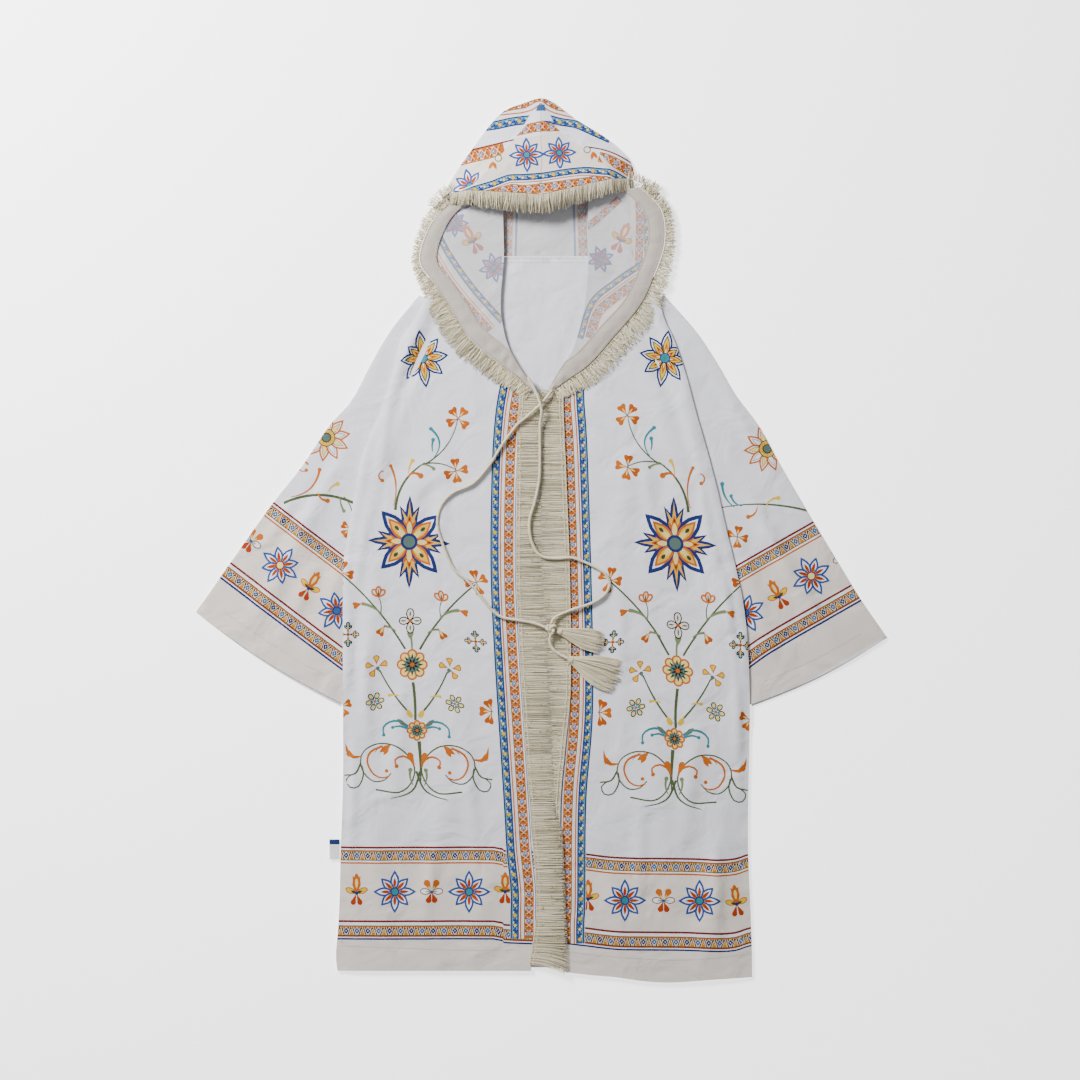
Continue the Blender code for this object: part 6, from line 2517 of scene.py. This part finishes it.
def toned(ink: str, tone: float) -> tuple[float, float, float, float]:
    """A yarn's colour, made lighter or darker."""
    red, green, blue, _ = linear(ink)
    return red * tone, green * tone, blue * tone, 1.0


@dataclass
class Drawstring:
    """Two twisted cords, the knot that ties them, a short tail and two tassels."""

    radius: float = CORD_DIAMETER / 2
    ply_radius: float = 1.02
    ply_reach: float = 0.95
    twist_pitch: float = 8.5
    ply_tones: tuple[float, float, float] = (1.0, 0.95, 1.04)
    knot_steps: int = 66
    strands: int = 300
    skirt_height: float = 3.4
    wrap_turns: int = 5
    wrap_steps: int = 60

    def plies(self, skin: Skin, path: Sequence[Place], sides: int = 6) -> None:
        """Winds three plies round a line."""
        ways = [
            (Vector(path[min(i + 1, len(path) - 1)]) - Vector(path[max(i - 1, 0)])).normalized()
            for i in range(len(path))
        ]
        side = Vector((0.0, 0.0, 1.0))
        frames = []
        for way in ways:
            side = (side - way * side.dot(way)).normalized()
            frames.append((side.copy(), way.cross(side)))
        travelled = [0.0]
        for a, b in zip(path, path[1:]):
            travelled.append(travelled[-1] + math.dist(a, b))
        for ply, tone in enumerate(self.ply_tones):
            line = []
            for place, (up, across), far in zip(path, frames, travelled):
                angle = 2 * math.pi * (far / self.twist_pitch + ply / 3)
                out = (up * math.cos(angle) + across * math.sin(angle)) * self.ply_reach
                line.append(tuple(Vector(place) + out))
            skin.tube(line, [self.ply_radius] * len(line), toned(YARN_LIGHT, tone), sides=sides)

    def cord(self, name: str, route: Table) -> tuple[bpy.types.Object, list[Place]]:
        """Builds one cord along its route."""
        path = smooth_line(route, 1.6)
        skin = Skin()
        self.plies(skin, path)
        obj = skin.object(name + "_plies", (CORD,), CRISP)
        claim(name)
        return obj, path

    def knot(self) -> bpy.types.Object:
        """Ties the cords: one line that loops through itself three times."""
        skin = Skin()
        path = []
        for i in range(self.knot_steps + 1):
            turn = 2 * math.pi * i / self.knot_steps
            x = (math.sin(turn) + 2 * math.sin(2 * turn)) / 3
            y = (math.cos(turn) - 2 * math.cos(2 * turn)) / 3
            z = -math.sin(3 * turn)
            path.append((
                KNOT_CENTRE[0] + (KNOT_SIZE[0] - 1.2) * x,
                KNOT_CENTRE[1] + (KNOT_SIZE[1] - 1.0) * y,
                KNOT_CENTRE[2] - 0.6 + (KNOT_SIZE[2] - 2.4) * z,
            ))
        self.plies(skin, path)
        obj = skin.object("knot_loops", (CORD,), CRISP)
        claim("knot")
        return obj

    def tassel(self, row: Sequence) -> bpy.types.Object:
        """Builds one tassel: a wrapped head and a skirt of fine strands that fans out."""
        name, head_x, head_y, end_x, end_y, end_width, head_width, base_z, end_z = row
        chance = random.Random(name)
        head = Vector((head_x, head_y, base_z))
        end = Vector((end_x, end_y, end_z))
        axis = (end - head).normalized()
        across = Vector((-axis.y, axis.x, 0.0)).normalized()
        up = axis.cross(across)
        up = up if up.z > 0 else -up
        length = (end - head).length
        skin = Skin()
        for _ in range(self.strands):
            spread = chance.uniform(-1, 1)
            layer = chance.uniform(-1, 1) * math.sqrt(1 - spread * spread)
            reach = length * chance.uniform(0.86, 1.06) * (1 - 0.1 * abs(spread))
            wave = chance.uniform(-1.6, 1.6)
            path = []
            for step in range(8):
                share = step / 7
                widen = ease(share / 0.9)
                neck = 0.72 + 0.28 * ease(share / 0.22)
                wide = (head_width / 2 * (1 - widen) + end_width / 2 * widen) * neck
                tall = self.skirt_height * (1 - 0.45 * share) * neck
                sway = wave * math.sin(5 * share + wave) * share
                place = head + axis * (reach * share) + across * (spread * wide + sway)
                place += up * (layer * tall)
                path.append(tuple(place))
            # Random tone, with painted shade: strands low in the skirt are darker and the upper ones
            # lighter
            tone = chance.uniform(0.86, 1.12) * (1 + 0.08 * layer)
            radii = [0.42, 0.46, 0.46, 0.45, 0.44, 0.42, 0.38, 0.22]
            skin.tube(path, radii, toned(YARN_LIGHT, tone), turn=chance.uniform(0, 2))
        wraps = []
        for i in range(self.wrap_steps + 1):
            turn = 2 * math.pi * self.wrap_turns * i / self.wrap_steps
            along = 2.5 + 3.6 * i / self.wrap_steps
            place = head + axis * along
            wide = across * math.cos(turn) * (head_width / 2 * 0.86)
            place += wide + up * math.sin(turn) * self.skirt_height
            wraps.append(tuple(place))
        skin.tube(wraps, [0.5] * len(wraps), toned(YARN_LIGHT, 0.98), sides=5)
        obj = skin.object(name + "_strands", (YARN,), CRISP)
        claim(name)
        return obj

    def build(self) -> None:
        """Builds the pieces and logs each cord's length."""
        tassels = {row[0]: self.tassel(row) for row in TASSELS}
        knot = self.knot()
        routes = (
            ("cord_left", LEFT_CORD, "knot", [knot]),
            ("cord_right", RIGHT_CORD, "knot", [tassels["tassel_upper"]]),
            ("cord_tail", TAIL_CORD, "fitting", [tassels["tassel_lower"]]),
        )
        for name, route, far_end, pieces in routes:
            obj, path = self.cord(name, route)
            length = sum(math.dist(a, b) for a, b in zip(path, path[1:]))
            LOG.info("%s is %.0f mm long", name, length)
            tuple(v * MM for v in route[0])
            [tuple(v * MM for v in p) for p in path[::6] + [path[-1]]]
            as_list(pieces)


@dataclass
class Fringe:
    """Strands on a stitched tape along an edge of the garment."""

    pitch: float = 1.15
    radius: float = 0.52
    stitch_turn: float = 0.62
    steps: int = 5

    def header(self, skin: Skin, line: Sequence[Place], offset: float) -> None:
        """Adds one row of the tape's stitches: two plies wound round each other."""
        for ply in range(2):
            path = []
            for i, (x, y, z) in enumerate(line):
                turn = math.pi * (i * self.stitch_turn + ply)
                path.append((x + 0.45 * math.cos(turn), y, z + offset + 0.4 * math.sin(turn)))
            skin.tube(path, [0.5] * len(path), toned(YARN_LIGHT, 0.97 + 0.06 * ply), sides=5)

    def strand(
        self, skin: Skin, path: Sequence[Place], chance: random.Random, tone: float, radius: float
    ) -> None:
        """Adds one strand that thins to its cut end."""
        count = len(path)
        radii = [radius * (1 - 0.35 * (i / (count - 1)) ** 3) for i in range(count)]
        skin.tube(path, radii, toned(YARN_LIGHT, tone), turn=chance.uniform(0, 2.1))

    def glint(self, skin: Skin, place: Place, heading: float, length: float) -> None:
        """Adds a short bright thread that lies among the strands."""
        dx, dy = math.cos(heading) * length / 2, math.sin(heading) * length / 2
        x, y, z = place
        path = [(x - dx, y - dy, z), (x, y, z + 0.25), (x + dx, y + dy, z)]
        skin.tube(path, [0.3, 0.6, 0.3], linear(GLINT), slot=1, sides=4)

    def finish(self, skin: Skin, node: str) -> None:
        """Makes the object and hides the backing that it replaces."""
        obj = skin.object(node + "_strands", (YARN, GLITTER), CRISP)
        claim(node)


@dataclass
class FrontFringe(Fringe):
    """The fringe across the front opening: each side reaches to the middle line."""

    above: float = 15.0
    lean_starts: float = -498.0
    lean_most: float = -12.0
    # For each line of glints: how far it lies from the tape towards the tips, and how many
    glints: Sequence[tuple[float, int]] = ((0.22, 110), (0.62, 110), (0.86, 80))

    def build(self, side: Side, table: Table) -> None:
        """Builds one side's fringe."""
        inward = -side.sign
        rows = [(y, root, tip, rise) for root, y, tip, rise in table]
        first, last = rows[0][0] + self.above, rows[-1][0]
        chance = random.Random(20 + side.sign)
        skin = Skin()
        for layer in range(2):
            pitch = self.pitch * (1.1 if layer == 0 else 1.0)
            count = int((first - last) / pitch)
            for index in range(count):
                y = first - pitch * (index + 0.5)
                root = between(rows, y, 1) + inward * 0.6
                # The lower layer's strands reach past the tips to the middle line: with their darker tone
                # they are painted shade that fills the gap there
                reach = 3.4 if layer == 0 else 1.8 - 3.0 * chance.random() ** 2
                tip = between(rows, y, 2) + inward * reach
                rise = between(rows, y, 3)
                lean = 0.0
                if side is Side.LEFT:
                    lean = self.lean_most * ease((self.lean_starts - y) / 30.0)
                self.across(skin, chance, layer, root, tip, y, rise, lean)
        for shift, offset in ((0.4, 1.0), (4.4, 1.1)):
            steps = int(first - last)
            line = []
            for i in range(steps + 1):
                y = first - (first - last) * i / steps
                line.append((between(rows, y, 1) + inward * shift, y, ON_FRONT))
            self.header(skin, line, offset)
        for place_at, many in self.glints:
            for _ in range(many):
                y = first + (last - first) * chance.random()
                root, tip = between(rows, y, 1), between(rows, y, 2)
                share = min(max(place_at + chance.gauss(0, 0.06), 0.05), 0.96)
                rise = between(rows, y, 3) * ease(share / 0.72)
                z = ON_FRONT + 1.75 + rise
                x = root + (tip - root) * share
                heading = chance.choice((0.0, 0.2, math.pi / 2))
                self.glint(skin, (x, y, z), heading, chance.uniform(0.8, 2.2))
        self.finish(skin, "fringe_front_" + side.word)

    def across(
        self, skin: Skin, chance: random.Random, layer: int, root: float, tip: float, y: float,
        rise: float, lean: float,
    ) -> None:
        """Adds one strand from the tape towards the middle line."""
        drift = chance.gauss(0, 0.5)
        wave = chance.uniform(0, 6.3)
        path = []
        for step in range(self.steps + 1):
            share = step / self.steps
            x = root + (tip - root) * share
            lift = rise * ease(share / 0.75) * 0.92
            level = ON_FRONT + (0.45 if layer == 0 else 1.05) + lift
            level += 0.3 * math.sin(math.pi * share) * chance.random()
            sway = drift * share + 0.25 * math.sin(5 * share + wave)
            path.append((x, y + sway + lean * share * share, level))
        # The lower layer is painted darker as the shade under the upper strands; the upper layer's tones
        # differ at random
        tone = chance.uniform(0.5, 0.8) if layer == 0 else chance.choice((0.82, 0.95, 1.0, 1.05, 1.1))
        self.strand(skin, path, chance, tone, self.radius * (1.1 if layer == 0 else 1.0))


@dataclass
class HoodFringe(Fringe):
    """The fringe along the hood's folded sides and under the crown's lip."""

    corners: ClassVar[dict[Side, Sequence[Point]]] = {
        Side.LEFT: ((-132, 413.8), (-124.5, 425), (-112, 433.8), (-92, 435), (-79.5, 430)),
        Side.RIGHT: ((78, 445), (95.5, 448.8), (115.5, 447.5), (133, 440), (143, 431.2)),
    }
    # How high each layer of strands lies over the edge's level, and how light it is: lower layers are
    # painted darker as shade under the upper ones
    levels: tuple[float, float, float] = (0.4, 0.9, 1.4)
    lip_levels: tuple[float, float, float] = (0.2, 0.6, 1.1)
    tones: tuple[float, float, float] = (0.62, 0.86, 1.04)
    side_strands: int = 300
    side_glints: int = 190
    corner_strands: int = 150
    lip_strands: int = 230
    lip_glints: int = 130
    lip_length: float = 23.0
    lip_drop: float = 9.0
    # What of an edge carries strands: a little less than all of it
    end_gap: float = 0.004

    def edge(self, table: Table, share: float) -> tuple[Vector, Vector, float, float]:
        """A hood side's free edge: the point, the way out, the lift and the fringe's reach."""
        start, end = row_at(table, share - self.end_gap), row_at(table, share + self.end_gap)
        x, y, _, _, lift, reach = row_at(table, share)
        along = Vector((end[0] - start[0], end[1] - start[1])).normalized()
        turn = 1 if table[0][0] > 0 else -1
        return Vector((x, y)), Vector((-along.y, along.x)) * turn, lift, reach

    def side(self, side: Side, table: Table) -> None:
        """Builds the fringe of one hood side."""
        chance = random.Random(50 + side.sign)
        skin = Skin()
        line = []
        for i in range(341):
            point, out, lift, _ = self.edge(table, 0.004 + 0.992 * i / 340)
            line.append((point.x + out.x * 1.6, point.y + out.y * 1.6, ON_FRONT + lift))
        self.header(skin, line, 0.95)
        count = self.side_strands
        for layer in range(3):
            for index in range(count):
                share = 0.004 + 0.992 * (index + chance.random()) / count
                point, out, lift, reach = self.edge(table, share)
                self.outward(skin, chance, layer, point, out, lift, reach)
        self.corner(skin, chance, side)
        for _ in range(self.side_glints):
            share = chance.random() * 0.98 + 0.01
            point, out, lift, reach = self.edge(table, share)
            far = chance.choice((1.5, 3.0, reach * 0.6)) + chance.random()
            place = (point.x + out.x * far, point.y + out.y * far, ON_FRONT + lift + 2.0)
            self.glint(skin, place, chance.uniform(0, 3.1), chance.uniform(0.8, 2.0))
        self.finish(skin, "fringe_hood_" + side.word)

    def corner(self, skin: Skin, chance: random.Random, side: Side) -> None:
        """Adds the loose strands that carry a hood side's fringe on to the crown's."""
        line = self.corners[side]
        for index in range(self.corner_strands):
            share = (len(line) - 1.001) * (index + chance.random()) / self.corner_strands
            step, part = int(share), share % 1
            root = Vector(line[step]).lerp(Vector(line[step + 1]), part)
            along = (Vector(line[step + 1]) - Vector(line[step])).normalized()
            out = Vector((-along.y, along.x)) * (1 if index % 4 else -0.8)
            layer = index % 3
            self.outward(skin, chance, layer, root, out, 3.4, 10.0 + 3.0 * chance.random())

    def outward(
        self, skin: Skin, chance: random.Random, layer: int, point: Vector, out: Vector, lift: float,
        reach: float,
    ) -> None:
        """Adds one strand that fans out from the hood's edge."""
        turn = chance.gauss(0, 0.2)
        cosine, sine = math.cos(turn), math.sin(turn)
        way = Vector((out.x * cosine - out.y * sine, out.x * sine + out.y * cosine))
        length = (reach + 1.0) * chance.uniform(0.72, 1.04)
        curl = chance.gauss(0, 2.2)
        side = Vector((-way.y, way.x))
        path = []
        for step in range(self.steps + 1):
            share = step / self.steps
            place = point + way * (0.8 + (length - 0.8) * share) + side * (curl * share * share)
            level = ON_FRONT + lift * (1 - share) + self.levels[layer]
            level += 0.7 * math.sin(math.pi * share) * chance.random()
            path.append((place.x, place.y, level))
        # Painted shade: each layer's tone follows its height, darker lower down, with a random spread
        tone = self.tones[layer] * chance.uniform(0.9, 1.08)
        self.strand(skin, path, chance, tone, self.radius)

    def lip(self) -> None:
        """Builds the fringe that hangs under the crown's lip."""
        chance = random.Random(77)
        skin = Skin()
        lip = lip_line()
        line = []
        for i in range(241):
            x, y, z = along_line(lip, 0.03 + 0.94 * i / 240)
            line.append((x, y - 1.6, z))
        self.header(skin, line, 0.6)
        count = self.lip_strands
        for layer in range(3):
            for index in range(count):
                share = 0.04 + 0.92 * (index + chance.random()) / count
                self.hang(skin, chance, layer, share, along_line(lip, share))
        for _ in range(self.lip_glints):
            share = chance.uniform(0.05, 0.95)
            x, y, z = along_line(lip, share)
            far = chance.choice((2.0, 9.0, 15.0)) + chance.random()
            self.glint(skin, (x, y - far, z + 1.6 - far * 0.3), chance.uniform(0, 3.1), 1.5)
        self.finish(skin, "fringe_hood_top")

    def hang(
        self, skin: Skin, chance: random.Random, layer: int, share: float, root: Sequence[float]
    ) -> None:
        """Adds one strand that falls forward and down from the lip."""
        x, y, z = root
        swell = math.sin(math.pi * share)
        length = self.lip_length * (0.6 + 0.4 * swell) * chance.uniform(0.78, 1.04)
        drop = self.lip_drop * swell
        lean = chance.gauss(0, 0.1)
        curl = chance.gauss(0, 1.6)
        path = []
        for step in range(self.steps + 1):
            part = step / self.steps
            level = z + self.lip_levels[layer] - drop * part * part + 0.5 * math.sin(math.pi * part)
            path.append(
                (x + lean * length * part + curl * part * part, y - 0.6 - length * part, max(level, 9.6))
            )
        # Painted shade: each layer's tone follows its height, darker lower down, with a random spread
        tone = self.tones[layer] * chance.uniform(0.9, 1.08)
        self.strand(skin, path, chance, tone, self.radius)


@dataclass
class Label:
    """A small folded satin label caught in the left side seam, left bare."""

    width: float = 13.0
    height: float = 25.0
    thick: float = 0.9
    top: float = -374.0
    clear: float = 1.2
    cells: int = 8
    tip_share: float = 0.3

    def build(self) -> None:
        """Builds the folded strip with its soft outer fold."""
        side = body_edge(self.top - self.height / 2, 1) - self.clear
        low, high = [], []
        for r in range(self.cells + 1):
            y = self.top - self.height * r / self.cells
            curl = 0.25 * math.sin(r * 0.9)
            low_row, high_row = [], []
            for c in range(self.cells + 1):
                part = c / self.cells
                x = side - self.width * part
                fold = math.sqrt(max(1 - max((part - 0.9) / 0.1, 0) ** 2, 0))
                middle = CLOTH + self.thick / 2 + 0.2 + curl * part
                low_row.append((x, y, middle - self.thick / 2 * fold))
                high_row.append((x, y, middle + self.thick / 2 * fold))
            low.append(low_row)
            high.append(high_row)
        skin = Skin()
        slab(skin, low, high, linear(LABEL_GROUND))
        tip = linear(LABEL_TIP)
        for i, face in enumerate(skin.faces):
            if all(skin.points[k][1] > self.top - self.tip_share * self.height for k in face):
                skin.colours[i] = tip
        size = (self.width, self.height)
        lay(skin, "label", "tape", (SATIN,), size, self.width * self.height)


def main() -> None:
    """Builds the studio, the cords and then the garment from its lowest layer up."""
    logging.basicConfig(level=logging.INFO, format="%(message)s")
    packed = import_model()
    LOG.info("%d packed nodes", len(packed["nodes"]))
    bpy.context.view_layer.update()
    Studio().build()
    Drawstring().build()
    panels = Panels()
    panels.back()
    hood = Hood()
    hood.back()
    sleeves = Sleeves()
    sleeves.build(Side.LEFT, LEFT_SLEEVE_EDGE)
    sleeves.build(Side.RIGHT, RIGHT_SLEEVE_EDGE)
    for side in Side:
        panels.front(side)
    for side, table in ((Side.LEFT, LEFT_SIDE), (Side.RIGHT, RIGHT_SIDE)):
        hood.crown(side)
        hood.side(side, table)
        HoodFringe().side(side, table)
    HoodFringe().lip()
    FrontFringe().build(Side.LEFT, LEFT_FRINGE)
    FrontFringe().build(Side.RIGHT, RIGHT_FRINGE)
    Label().build()


if __name__ == "__main__":
    main()
